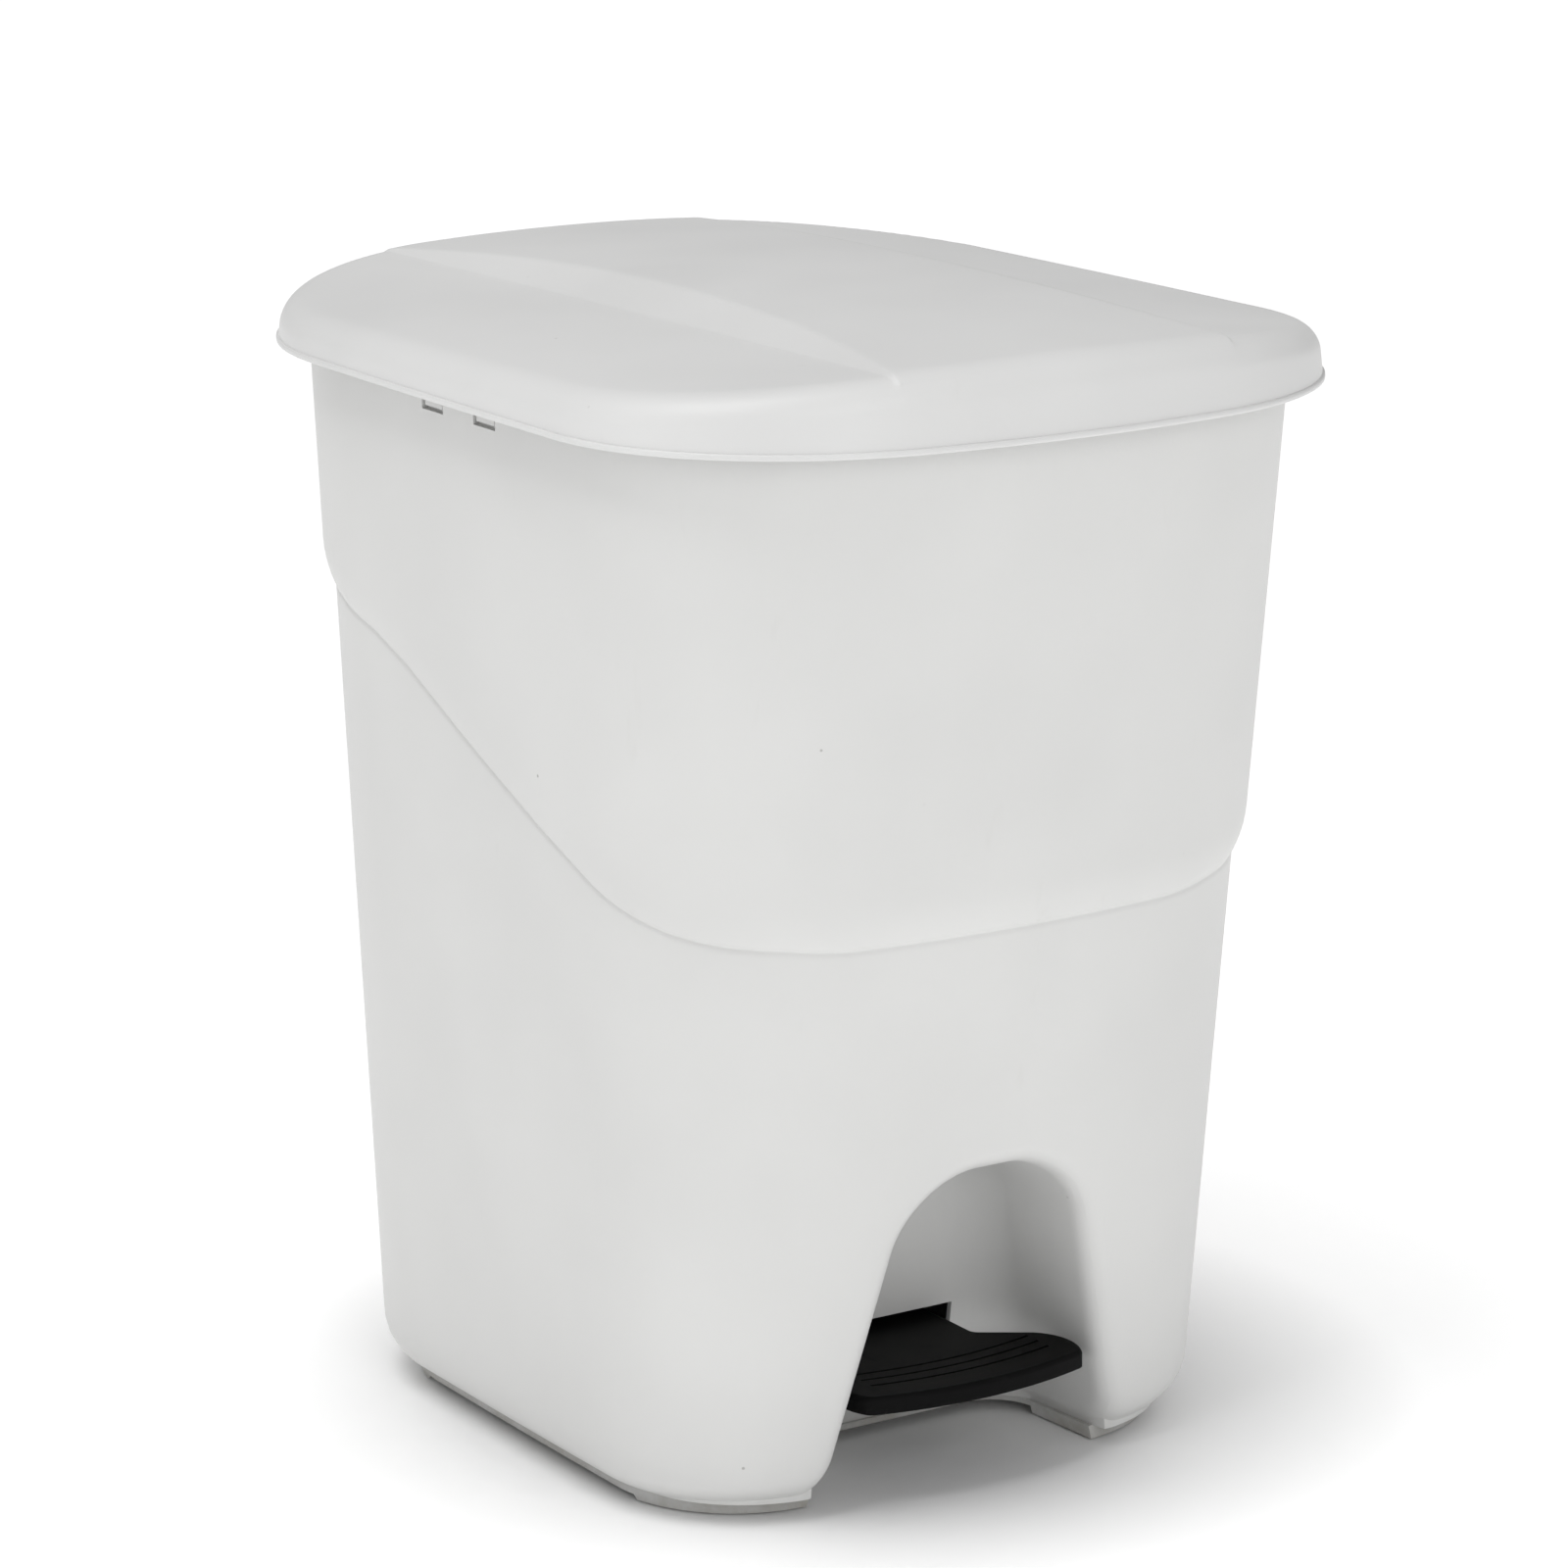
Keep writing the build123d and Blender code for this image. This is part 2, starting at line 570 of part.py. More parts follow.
def bucket_plan(z, grow, back_grow=None):
    """Outline of the bucket, its back set forward of the push rod."""
    drop = BUCKET_TOP - z
    back = BUCKET_BACK - 0.0896 * drop + (grow if back_grow is None else back_grow)
    return rounded_plan(
        z,
        BUCKET_HALF - 0.040 * drop + grow,
        BUCKET_FRONT - 0.111 * drop + grow,
        back,
        84 - 0.05 * drop + grow,
        (3.0, 20 - 0.025 * drop, 2.0),
    )


def bucket_tub(grow, floor, round_by):
    """Solid of the bucket outline with a rounded floor edge."""
    solid = loft([bucket_plan(floor, grow), bucket_plan(BUCKET_TOP, grow)], ruled=True)
    return fillet(bottom_edges(solid, floor), round_by)


bucket_relief = niche(9.0)
bucket_skin = bucket_tub(0, BUCKET_FLOOR, 16.0)
bucket_air = bucket_tub(-BUCKET_WALL, BUCKET_FLOOR + BUCKET_WALL, 16.0 - BUCKET_WALL)
bucket = (bucket_skin - bucket_relief) - (bucket_air - niche(9.0 + BUCKET_WALL))
flange = extrude(bucket_plan(BUCKET_TOP, 8, 3.5), amount=2.0)
flange = flange - extrude(bucket_plan(BUCKET_TOP, -BUCKET_WALL), amount=2.0)
bucket = bucket + flange

# bail: bent wire lying in the mouth, its ends turned out through the wall
BAIL_Z = 425.0
BAIL_Y = 0.0
BAIL_R = 2.0
bail_half = BUCKET_HALF - 0.040 * (BUCKET_TOP - BAIL_Z) - BUCKET_WALL - 6.0
BAIL_REACH = -(FRONT - 45.5)
for side in (-1, 1):
    middle = side * (HALF_WIDTH - 54.2)
    bucket = bucket - x_cylinder(BAIL_R + RUN, middle - 60, middle + 60, BAIL_Y, BAIL_Z)
wire_left = x_cylinder(BAIL_R, -bail_half - 7.8, -bail_half, BAIL_Y, BAIL_Z)
wire_right = x_cylinder(BAIL_R, bail_half, bail_half + 7.8, BAIL_Y, BAIL_Z)
arc_left = ThreePointArc((-bail_half, 0, BAIL_Z), (0, BAIL_REACH, BAIL_Z + 6), (bail_half, 0, BAIL_Z))
start = arc_left @ 0
bow = sweep(Plane(origin=start, z_dir=arc_left % 0) * Circle(BAIL_R), path=arc_left)
bail_wire = bow + wire_left + wire_right
bail_wire = bail_wire + Pos(-bail_half, 0, BAIL_Z) * Sphere(BAIL_R)
bail_wire = bail_wire + Pos(bail_half, 0, BAIL_Z) * Sphere(BAIL_R)
GRIP_LOW, GRIP_HIGH = 0.42, 0.58
grip_path = arc_left.trim(GRIP_LOW, GRIP_HIGH)
grip_plane = Plane(origin=grip_path @ 0, z_dir=grip_path % 0)
bail_grip = sweep(grip_plane * Circle(BAIL_R + 3.0), path=grip_path)
bail_grip = bail_grip - sweep(grip_plane * Circle(BAIL_R), path=grip_path)

# ---- bucket frame: ring on the rim with a skirt and four hooks ------------
LIP = 2.0
lip = tub(-0.5, RIM_Z, RIM_Z + LIP)
lip = lip - extrude(bucket_plan(RIM_Z - 5, 1.2), amount=20)
skirt = tub(-WALL, 412, RIM_Z) - tub(-WALL - 2.0, 400, RIM_Z + 5)
skirt = skirt - block(-62, 62, BACK - 37.5, BACK + 62.5, 400, 450)
frame_ring = lip + skirt
for side in (-1, 1):
    for y in WINDOW_Y:
        hook = tub(-0.6, WINDOW_LOW + 1.5, WINDOW_HIGH) - tub(-WALL - 1.0, 400, RIM_Z + 5)
        zone = block(HALF_WIDTH - 54.2, WINDOW_OUT, y - 6.5, y + 6.5, 400, 440)
        hook = hook & (zone if side > 0 else mirror(zone, Plane.YZ))
        frame_ring = frame_ring + hook
frame_ring = frame_ring - block(-14, 14, BACK - 31.0, BACK - 4.0, 400, 450)

# ---- lid ------------------------------------------------------------------
def lid_plan(z, grow):
    """Lid outline at a height, its skirt drawing in slightly upward."""
    out = LID_OVERHANG - LID_BEAD - 0.10 * (z - LID_RIM_Z) + grow
    return rounded_plan(
        z, HALF_WIDTH + out, FRONT + out, BACK + out, 104 + out, (3.2, 25.0, 2.0)
    )


def lid_solid(inset):
    """Outer or inner surface of the lid as a solid down to below its rim."""
    top = LID_TOP - inset
    hull = loft([lid_plan(LID_RIM_Z - 2, -inset), lid_plan(LID_RIM_Z + 46, -inset)], ruled=True)
    fall = Pos(0, 0, top) * Rot(-LID_FALL, 0, 0) * Pos(0, 0, -top)
    crown = fall * Pos(0, 0, top - LID_CROWN_R) * Rot(90, 0, 0) * Cylinder(LID_CROWN_R, 600)
    solid = hull & crown
    rim_edges = solid.edges().filter_by(lambda e: e.center().Z > LID_RIM_Z + 8 and
                                        e.bounding_box().size.Z < 12)
    solid = fillet(rim_edges, 10.0 - inset)
    side = PANEL_HALF - inset * 0.3
    edge_z = top - PANEL_HALF ** 2 / (2 * LID_CROWN_R)
    facet = Face(
        Wire.make_polygon(
            [
                (-side, 300, edge_z - 20),
                (side, 300, edge_z - 20),
                (side, 300, edge_z),
                (side - 42, 300, edge_z + 24),
                (-side + 42, 300, edge_z + 24),
                (-side, 300, edge_z),
            ],
            close=True,
        )
    )
    ridge = extrude(facet, amount=600, dir=(0, -1, 0))
    arch_r = (PANEL_LENGTH ** 2 + PANEL_RISE ** 2) / (2 * PANEL_RISE)
    arch_z = top + PANEL_RISE - arch_r
    cut_face = Face(
        Wire([
            *ThreePointArc(
                (-90, 0, top + PANEL_RISE - 90 ** 2 / (2 * LID_CROWN_R)),
                (0, 0, top + PANEL_RISE),
                (90, 0, top + PANEL_RISE - 90 ** 2 / (2 * LID_CROWN_R)),
            ).edges(),
            *Polyline(
                (90, 0, top + PANEL_RISE - 90 ** 2 / (2 * LID_CROWN_R)),
                (90, 0, top - 40),
                (-90, 0, top - 40),
                (-90, 0, top + PANEL_RISE - 90 ** 2 / (2 * LID_CROWN_R)),
            ).edges(),
        ])
    )
    axis = Axis((0, 0, arch_z), (1, 0, 0))
    arch = revolve(cut_face, axis, 6) + revolve(cut_face, axis, -6)
    panel = (fall * (ridge & arch)) & hull
    return solid + (panel & block(-90, 90, -186, 186, top - 12, 480))


lid_out = lid_solid(0)
lid_in = lid_solid(WALL)
bead = loft([
    rounded_plan(z, HALF_WIDTH + LID_OVERHANG, FRONT + LID_OVERHANG, BACK + LID_OVERHANG,
                 104 + LID_OVERHANG, (3.2, 25.0, 2.0))
    for z in (LID_RIM_Z, LID_RIM_Z + 2.4)
], ruled=True)
lid = (lid_out & block(-250, 250, -250, 250, LID_RIM_Z, 500)) + bead
lid = lid - lid_in

KNUCKLES = ((24.5, 41.5),)
for side in (-1, 1):
    for x0, x1 in KNUCKLES:
        a, b = sorted((side * x0, side * x1))
        knuckle = x_cylinder(KNUCKLE_R, a, b, HINGE_Y, HINGE_Z)
        web = block(a, b, HINGE_Y - 2, HINGE_Y + 9, HINGE_Z - 1, HINGE_Z + 22)
        lid = lid + knuckle + (web & lid_out)
lid = lid - x_cylinder(HINGE_PIN_R + RUN, -60, 60, HINGE_Y, HINGE_Z)

LUG = ((7.0, 10.0),)
for side in (-1, 1):
    for x0, x1 in LUG:
        a, b = sorted((side * x0, side * x1))
        lug = side_plate(a, b, [
            (PIN_Y + 9, LID_TOP - 3.2),
            (PIN_Y - 11, LID_TOP - 3.2),
            (PIN_Y - 5, PIN_Z),
            (PIN_Y + 5, PIN_Z),
        ])
        lug = lug + x_cylinder(5.0, a, b, PIN_Y, PIN_Z)
        lid = lid + lug
lid = lid - x_cylinder(LIFT_PIN_R, -30, 30, PIN_Y, PIN_Z)
lift_pin = x_cylinder(LIFT_PIN_R, -12.5, 12.5, PIN_Y, PIN_Z)
lift_pin = lift_pin + x_cylinder(3.2, -12.5, -10.0, PIN_Y, PIN_Z)
pin_clip = x_cylinder(3.6, 10.0, 11.2, PIN_Y, PIN_Z) - x_cylinder(LIFT_PIN_R, 0, 30, PIN_Y, PIN_Z)

hinge_rod = x_cylinder(HINGE_PIN_R, -54, 54, HINGE_Y, HINGE_Z)
caps = []
for side in (-1, 1):
    a, b = sorted((side * 52, side * 55.5))
    cap = x_cylinder(3.6, a, b, HINGE_Y, HINGE_Z) - hinge_rod
    caps.append(cap.solid())
hinge_caps = Compound(caps)

BUFFER_X = HALF_WIDTH - 58.2
BUFFER_Y = -(FRONT - 29.5)
BUFFERS = [(-BUFFER_X, BUFFER_Y), (BUFFER_X, BUFFER_Y)]
buffer_list = []
for x, y in BUFFERS:
    stud = z_cylinder(5, x, y, BUCKET_TOP + 2 + BUCKET_LIFT + GAP, 470) & lid_in
    buffer_list.append(stud.solid())
lid_buffers = Compound(buffer_list)

# ---- write every node ------------------------------------------------------
NODES = {
    "body_shell": body,
    "base_plate": base,
    "foot_pads": foot_pads,
    "base_screws": base_screws,
    "pedal_lever": lever,
    "lever_bush": lever_bush,
    "pedal_tread": tread,
    "tread_screws": tread_screws,
    "pivot_axle": axle,
    "axle_clips": axle_clips,
    "pivot_bracket_left": bracket_left,
    "pivot_bracket_right": bracket_right,
    "bracket_screws": bracket_screws,
    "push_rod": rod,
    "rod_clip": rod_clip,
    "rod_yoke": yoke,
    "rod_guide_upper": guides["upper"],
    "rod_guide_lower": guides["lower"],
    "guide_screws": guide_screws,
    "inner_bucket": bucket,
    "bail_wire": bail_wire,
    "bail_grip": bail_grip,
    "bucket_frame": frame_ring,
    "lid_shell": lid,
    "lift_pin": lift_pin,
    "lift_pin_clip": pin_clip,
    "hinge_rod": hinge_rod,
    "hinge_caps": hinge_caps,
    "lid_buffers": lid_buffers,
}
for name, shape in NODES.items():
    export_step(shape, f"parts/{name}.step")
    print(name, len(shape.solids()))
print("rod travel", ROD_TRAVEL, "press", PRESS, "lean", LEAN)
print("pivot", PIVOT_Y, PIVOT_Z, "hole", HOLE_Y, HOLE_Z, "pin", PIN_Y, PIN_Z)
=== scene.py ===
import math

import bmesh
import bpy
import numpy as np
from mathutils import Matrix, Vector


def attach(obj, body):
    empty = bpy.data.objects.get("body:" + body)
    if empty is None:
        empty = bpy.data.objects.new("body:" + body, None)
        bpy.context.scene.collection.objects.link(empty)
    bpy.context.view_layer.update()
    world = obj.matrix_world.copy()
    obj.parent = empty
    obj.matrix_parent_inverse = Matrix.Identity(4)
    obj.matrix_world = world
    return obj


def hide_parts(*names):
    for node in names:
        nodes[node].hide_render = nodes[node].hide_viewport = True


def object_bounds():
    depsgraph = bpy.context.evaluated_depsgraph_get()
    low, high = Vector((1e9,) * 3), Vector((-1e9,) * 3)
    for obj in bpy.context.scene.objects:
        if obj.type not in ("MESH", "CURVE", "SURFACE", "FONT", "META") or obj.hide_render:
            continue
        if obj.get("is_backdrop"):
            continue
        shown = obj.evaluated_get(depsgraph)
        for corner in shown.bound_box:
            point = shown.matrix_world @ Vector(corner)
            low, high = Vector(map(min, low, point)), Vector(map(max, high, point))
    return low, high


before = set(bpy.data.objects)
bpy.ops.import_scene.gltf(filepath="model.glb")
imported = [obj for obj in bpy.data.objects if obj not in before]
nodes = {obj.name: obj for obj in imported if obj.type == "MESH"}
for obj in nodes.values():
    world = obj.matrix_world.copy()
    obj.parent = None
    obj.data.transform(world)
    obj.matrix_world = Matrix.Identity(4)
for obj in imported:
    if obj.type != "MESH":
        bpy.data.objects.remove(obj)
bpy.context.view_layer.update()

# Studio: a white room, one broad soft light from the front, a second overhead
# toward the left and a weak one low on the left side.
turn, rise = math.radians(-32.9), math.radians(14.43)
back = Vector((math.sin(turn) * math.cos(rise), -math.cos(turn) * math.cos(rise), math.sin(rise)))
eye = bpy.data.cameras.new("camera")
eye.lens = 136.6
eye.sensor_width = 36
eye.clip_end = 50
camera = bpy.data.objects.new("camera", eye)
camera.location = Vector((-0.0017, 0.0011, 0.2547)) + back * 2.370
camera.rotation_mode = "QUATERNION"
camera.rotation_quaternion = (-back).to_track_quat("-Z", "Y")
bpy.context.scene.collection.objects.link(camera)
bpy.context.scene.camera = camera


def panel_light(name, place, aim, size, watts):
    """Square soft light at a place, turned toward a point."""
    lamp = bpy.data.lights.new(name, "AREA")
    lamp.shape = "SQUARE"
    lamp.size = size
    lamp.energy = watts
    holder = bpy.data.objects.new(name, lamp)
    holder.location = place
    holder.rotation_mode = "QUATERNION"
    holder.rotation_quaternion = (Vector(aim) - Vector(place)).to_track_quat("-Z", "Y")
    bpy.context.scene.collection.objects.link(holder)


panel_light("key", (-0.5, -2.7, 1.4), (0, 0, 0.25), 1.5, 15)
panel_light("side", (-2.4, 0.3, 1.3), (0, 0, 0.3), 1.2, 0.3)
panel_light("overhead", (-0.9, -0.1, 2.5), (0, 0, 0.3), 1.3, 25)
room = bpy.data.worlds.new("room")
room.use_nodes = True
room.node_tree.nodes["Background"].inputs["Color"].default_value = (1, 1, 1, 1)
room.node_tree.nodes["Background"].inputs["Strength"].default_value = 0.45
bpy.context.scene.world = room
bpy.context.scene.view_settings.view_transform = "Standard"


# Floor: one sheet of white background paper laid flat. It glows with painted light: the glow is
# taken away where the bin stands, a painted shadow a little darker there, and is lit up evenly farther out.
class Value:
    """A number that changes over a surface, used in sums as it stands."""

    def __init__(self, finish, socket):
        self.finish = finish
        self.socket = socket

    def _sum(self, operation, left, right):
        return self.finish.add("ShaderNodeMath", {"operation": operation}, {0: left, 1: right})

    def __add__(self, other):
        return self._sum("ADD", self, other)

    def __radd__(self, other):
        return self._sum("ADD", other, self)

    def __sub__(self, other):
        return self._sum("SUBTRACT", self, other)

    def __rsub__(self, other):
        return self._sum("SUBTRACT", other, self)

    def __mul__(self, other):
        return self._sum("MULTIPLY", self, other)

    def __rmul__(self, other):
        return self._sum("MULTIPLY", other, self)


class Finish:
    """A surface finish: a material built from nodes one at a time."""

    def __init__(self, name, metallic=0.0, **fixed):
        self.material = bpy.data.materials.new(name)
        self.material.use_nodes = True
        self.tree = self.material.node_tree
        self.shader = self.tree.nodes["Principled BSDF"]
        self.shader.inputs["Metallic"].default_value = metallic
        for socket, number in fixed.items():
            self.shader.inputs[socket.replace("_", " ")].default_value = number
        place = self.tree.nodes.new("ShaderNodeTexCoord")
        self.place = Value(self, place.outputs["Object"])

    def add(self, kind, settings, sockets, out=0):
        """One node: its settings first, then its sockets' values or links."""
        node = self.tree.nodes.new(kind)
        for key, setting in settings.items():
            if key == "stops":
                ramp = node.color_ramp
                while len(ramp.elements) < len(setting):
                    ramp.elements.new(0.5)
                for element, (at, shade) in zip(ramp.elements, setting):
                    element.position = at
                    element.color = (shade, shade, shade, 1)
            else:
                setattr(node, key, setting)
        for key, number in sockets.items():
            if isinstance(number, Value):
                self.tree.links.new(number.socket, node.inputs[key])
            else:
                node.inputs[key].default_value = number
        return Value(self, node.outputs[out])

    def noise(self, scale, detail=3.0, rough=0.55, stretch=None):
        """Soft noise in the part's own coordinates, scale in cells per metre."""
        place = self.place
        if stretch is not None:
            place = self.add("ShaderNodeVectorMath", {"operation": "MULTIPLY"}, {0: place, 1: stretch})
        return self.add(
            "ShaderNodeTexNoise", {}, {"Vector": place, "Scale": scale, "Detail": detail, "Roughness": rough}
        )

    def ramp(self, number, low, high):
        """Zero below low, one above high."""
        return self.add(
            "ShaderNodeMapRange", {}, {"Value": number, "From Min": low, "From Max": high}
        )

    def blend(self, share, first, second):
        """Colour going from first to second."""
        return self.add(
            "ShaderNodeMix", {"data_type": "RGBA"}, {0: share, 6: first, 7: second}, out=2
        )

    def coat(self, colour=None, roughness=None, height=None, depth=0.0002, metallic=None):
        """Joins the worked-out surface to the shader."""
        links = self.tree.links
        if colour is not None:
            links.new(colour.socket, self.shader.inputs["Base Color"])
        if roughness is not None:
            links.new(roughness.socket, self.shader.inputs["Roughness"])
        if metallic is not None:
            links.new(metallic.socket, self.shader.inputs["Metallic"])
        if height is not None:
            bump = self.add("ShaderNodeBump", {}, {"Height": height, "Strength": 1.0, "Distance": depth})
            links.new(bump.socket, self.shader.inputs["Normal"])
        return self.material


floor_mesh = bpy.data.meshes.new("floor")
span = 12.0
corners = [(-span, -span, 0), (span, -span, 0), (span, span, 0), (-span, span, 0)]
floor_mesh.from_pydata(corners, [], [(0, 1, 2, 3)])
floor = bpy.data.objects.new("floor", floor_mesh)
bpy.context.scene.collection.objects.link(floor)
floor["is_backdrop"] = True
paper = Finish("floor_paper", Specular_IOR_Level=0.2, Emission_Strength=0.62)
grain = paper.noise(60, 2)
# Painted light: no glow within 0.14 m of the middle, a painted shadow under the bin, rising to full white
# glow out to 3 m.
away = paper.add("ShaderNodeVectorMath", {"operation": "LENGTH"}, {0: paper.place}, out=1)
painted_shadow_glow = paper.blend(paper.ramp(away, 0.14, 0.26), (0, 0, 0, 1), (0.72, 0.72, 0.72, 1))
painted_glow = paper.blend(paper.ramp(away, 0.8, 3.0), painted_shadow_glow, (1, 1, 1, 1))
paper.tree.links.new(painted_glow.socket, paper.shader.inputs["Emission Color"])
sheet = paper.blend(grain, (0.90, 0.90, 0.90, 1), (0.93, 0.93, 0.93, 1))
floor_mesh.materials.append(paper.coat(sheet, 0.55 + grain * 0.1))


# Body shell: one white polypropylene moulding with a thin wall. Its upper band
# stands out over a flowing line, and an arched niche is let into the front.
def moulded_white(name, tone, low_darkening=0.0):
    """White satin moulding with faint mottling, specks and scuffs."""
    finish = Finish(name, Specular_IOR_Level=0.42)
    cloud = finish.noise(9, 2)
    fine = finish.noise(900, 2, 0.6)
    dots = finish.add("ShaderNodeTexVoronoi", {}, {"Vector": finish.place, "Scale": 42.0})
    rare = finish.ramp(finish.noise(23, 1), 0.55, 0.62)
    speck = (1.0 - finish.ramp(dots, 0.018, 0.034)) * rare
    drag = finish.ramp(finish.noise(60, 4, 0.7, (1.0, 1.0, 0.22)), 0.66, 0.78)
    light = tuple(tone) + (1,)
    dull = tuple(0.955 * c for c in tone) + (1,)
    colour = finish.blend(finish.ramp(cloud, 0.35, 0.65), dull, light)
    colour = finish.blend(drag * 0.10, colour, (0.50, 0.49, 0.46, 1))
    colour = finish.blend(speck * 0.55, colour, (0.20, 0.19, 0.17, 1))
    if low_darkening:
        # Darker toward the bottom: within 16 mm of the floor, in noisy patches, the colour goes toward a
        # brownish grey.
        split = finish.add("ShaderNodeSeparateXYZ", {}, {0: finish.place}, out=2)
        low = (1.0 - finish.ramp(split, 0.0, 0.016)) * finish.ramp(finish.noise(55, 5, 0.65), 0.35, 0.7)
        colour = finish.blend(low * low_darkening, colour, (0.33, 0.31, 0.26, 1))
    satin = 0.40 + cloud * 0.08 + drag * 0.12
    return finish.coat(colour, satin, fine + drag * -0.6, 0.00004)


WHITE = (0.71, 0.71, 0.70)
OUTLINE_Z = 445.0
HALF, REACH, CORNER = 154.2, 187.5, 104.0
SIDE_BOW, FRONT_BOW, BACK_BOW = 3.2, 25.0, 2.0
RIM, FOOT_Z, WALL = 434.5, 6.5, 2.5
STEP_IN, TUCK, TUCK_R = 4.0, 17.9, 42.0
LIFT_LINE = np.array([
    (-240, 230.0), (-155, 234.0), (-148, 236.0), (-137, 237.5), (-129, 239.0), (-118.5, 241.5),
    (-106, 245.6), (-91, 251.0), (-71, 259.0), (-48, 268.0), (0, 289.0), (50, 312.0),
    (75, 321.0), (107, 328.6), (150, 333.5), (240, 334.0),
])
NICHE_HALF, NICHE_DRAFT, NICHE_TOP, NICHE_BACK = 71.0, 0.253, 140.0, 62.0


def rounded_and(a, b, r):
    """Overlap of two shapes given by distance, its edge rounded."""
    return np.minimum(np.maximum(a, b), -r) + np.hypot(np.maximum(a + r, 0), np.maximum(b + r, 0))


def bowed(x, y, half, front, rear, corner, side_bow, front_bow, back_bow):
    """Distance outside an outline of four shallow arcs and round corners."""
    length = (front + rear) / 2
    middle = (rear - front) / 2
    side_r = (length**2 + side_bow**2) / (2 * side_bow)
    front_r = (half**2 + front_bow**2) / (2 * front_bow)
    back_r = (half**2 + back_bow**2) / (2 * back_bow)
    sx, sy = np.abs(x) - (half - side_r), y - middle
    fy = y - (front_r - front)
    by = y - (rear - back_r)
    side = np.hypot(sx, sy)
    fore, aft = np.hypot(x, fy), np.hypot(x, by)
    across = side - (side_r - corner)
    front_gap, back_gap = fore - (front_r - corner), aft - (back_r - corner)
    ahead = front_gap > back_gap
    along = np.where(ahead, front_gap, back_gap)
    far = np.where(ahead, fore, aft)
    ey = np.where(ahead, fy, by)
    cosine = (sx * np.abs(x) + sy * ey) / np.maximum(side * far, 1e-9)
    turned = np.sqrt(np.maximum(across**2 + along**2 - 2 * across * along * cosine, 0))
    turned = turned / np.sqrt(np.maximum(1 - cosine**2, 1e-6))
    at_corner = (across > along * cosine) & (along > across * cosine)
    return np.where(at_corner, turned, np.maximum(across, along)) - corner


def body_outline(x, y, z):
    """Distance outside the upper band's wall, carried down to the floor."""
    drop = OUTLINE_Z - z
    share = drop / OUTLINE_Z
    return bowed(
        x, y, HALF - 0.036 * drop, REACH - 0.111 * drop, REACH - 0.085 * drop,
        CORNER - 32.5 * share, SIDE_BOW - 1.7 * share, FRONT_BOW - 13.0 * share, BACK_BOW,
    )


def body_outside(x, y, z):
    """Distance outside the body, with tuck, bottom rounding and no niche."""
    t = z - np.interp(y, LIFT_LINE[:, 0], LIFT_LINE[:, 1])
    inside = np.clip(TUCK - t, 0, TUCK)
    inset = TUCK_R - np.sqrt(TUCK_R**2 - inside**2)
    groove = 0.45 * np.exp(-((t + 0.4) / 0.9) ** 2)
    inset = np.where(t < 0, STEP_IN, inset) + groove
    return rounded_and(body_outline(x, y, z) + inset, 5.2 - z, 20.0)


def niche_inside(x, y, z):
    """Distance outside the alcove, which narrows toward its back."""
    depth = (y + 220.0) / 158.0
    narrower = -5 + 12 * depth
    half = NICHE_HALF - NICHE_DRAFT * z - narrower
    side = (np.abs(x) - half) / 1.03
    top = z - (NICHE_TOP - 12.0 * depth)
    rear = (y + NICHE_BACK + 0.13 * np.maximum(z, 0)) / 1.01
    arch = rounded_and(side, top, 28.0)
    return rounded_and(arch, rear, 20.0)


def body_skin(x, y, z):
    """Distance outside the finished body, the niche's mouth rounded."""
    return rounded_and(body_outside(x, y, z), -niche_inside(x, y, z), 9.0)


def settle(points, shape, level=0.0, rounds=5, axes=(0, 1, 2), probe=0.15, least=0.2, reach=3.0):
    """Moves points onto the surface where a shape's distance is level."""
    for _ in range(rounds):
        off = shape(*points.T) - level
        slope = np.zeros_like(points)
        for axis in axes:
            step = np.zeros(3)
            step[axis] = probe
            slope[:, axis] = (shape(*(points + step).T) - shape(*(points - step).T)) / (2 * probe)
        size = np.maximum((slope**2).sum(1), least)
        points = points - slope * np.clip(off / size, -reach, reach)[:, None]
    return points


def ring_guess(count, half=150.0, front=180.0):
    """Even walk round a rounded outline, as first places for points."""
    a = np.linspace(0, 2 * np.pi, 4000, endpoint=False)
    c, s = np.cos(a), np.sin(a)
    p = 3.2
    r = (np.abs(c) ** p + np.abs(s) ** p) ** (-1 / p)
    x, y = half * c * r, front * s * r
    step = np.hypot(np.diff(x, append=x[0]), np.diff(y, append=y[0]))
    walked = np.concatenate([[0], np.cumsum(step)])
    marks = np.arange(4001)
    at = np.interp(np.linspace(0, walked[-1], count, endpoint=False), walked, marks)
    return np.interp(at, marks, np.append(x, x[0])), np.interp(at, marks, np.append(y, y[0]))


def tube_mesh(rows):
    """Closed mesh from rings of points, its ends capped by fans."""
    count = rows.shape[1]
    points = rows.reshape(-1, 3)
    faces = []
    for k in range(len(rows) - 1):
        a = k * count + np.arange(count)
        b = k * count + (np.arange(count) + 1) % count
        faces.append(np.stack([a, b, b + count, a + count], 1))
    faces = [tuple(f) for block in faces for f in block.tolist()]
    low, high = len(points), len(points) + 1
    points = np.vstack([points, rows[0].mean(0), rows[-1].mean(0)])
    top = (len(rows) - 1) * count
    faces += [(low, (i + 1) % count, i) for i in range(count)]
    faces += [(high, top + i, top + (i + 1) % count) for i in range(count)]
    return points, faces


def hoop(name, rows):
    """Closed ring: a closed section of several points carried round."""
    loops, count = rows.shape[:2]
    faces = []
    for k in range(loops):
        for i in range(count):
            n, j = (k + 1) % loops, (i + 1) % count
            faces.append((k * count + i, k * count + j, n * count + j, n * count + i))
    return make(name, rows.reshape(-1, 3), faces)


def make(name, points, faces):
    """Object from points in millimetres."""
    mesh = bpy.data.meshes.new(name)
    mesh.from_pydata((np.asarray(points) / 1000.0).tolist(), [], faces)
    made = bpy.data.objects.new(name, mesh)
    bpy.context.scene.collection.objects.link(made)
    return made


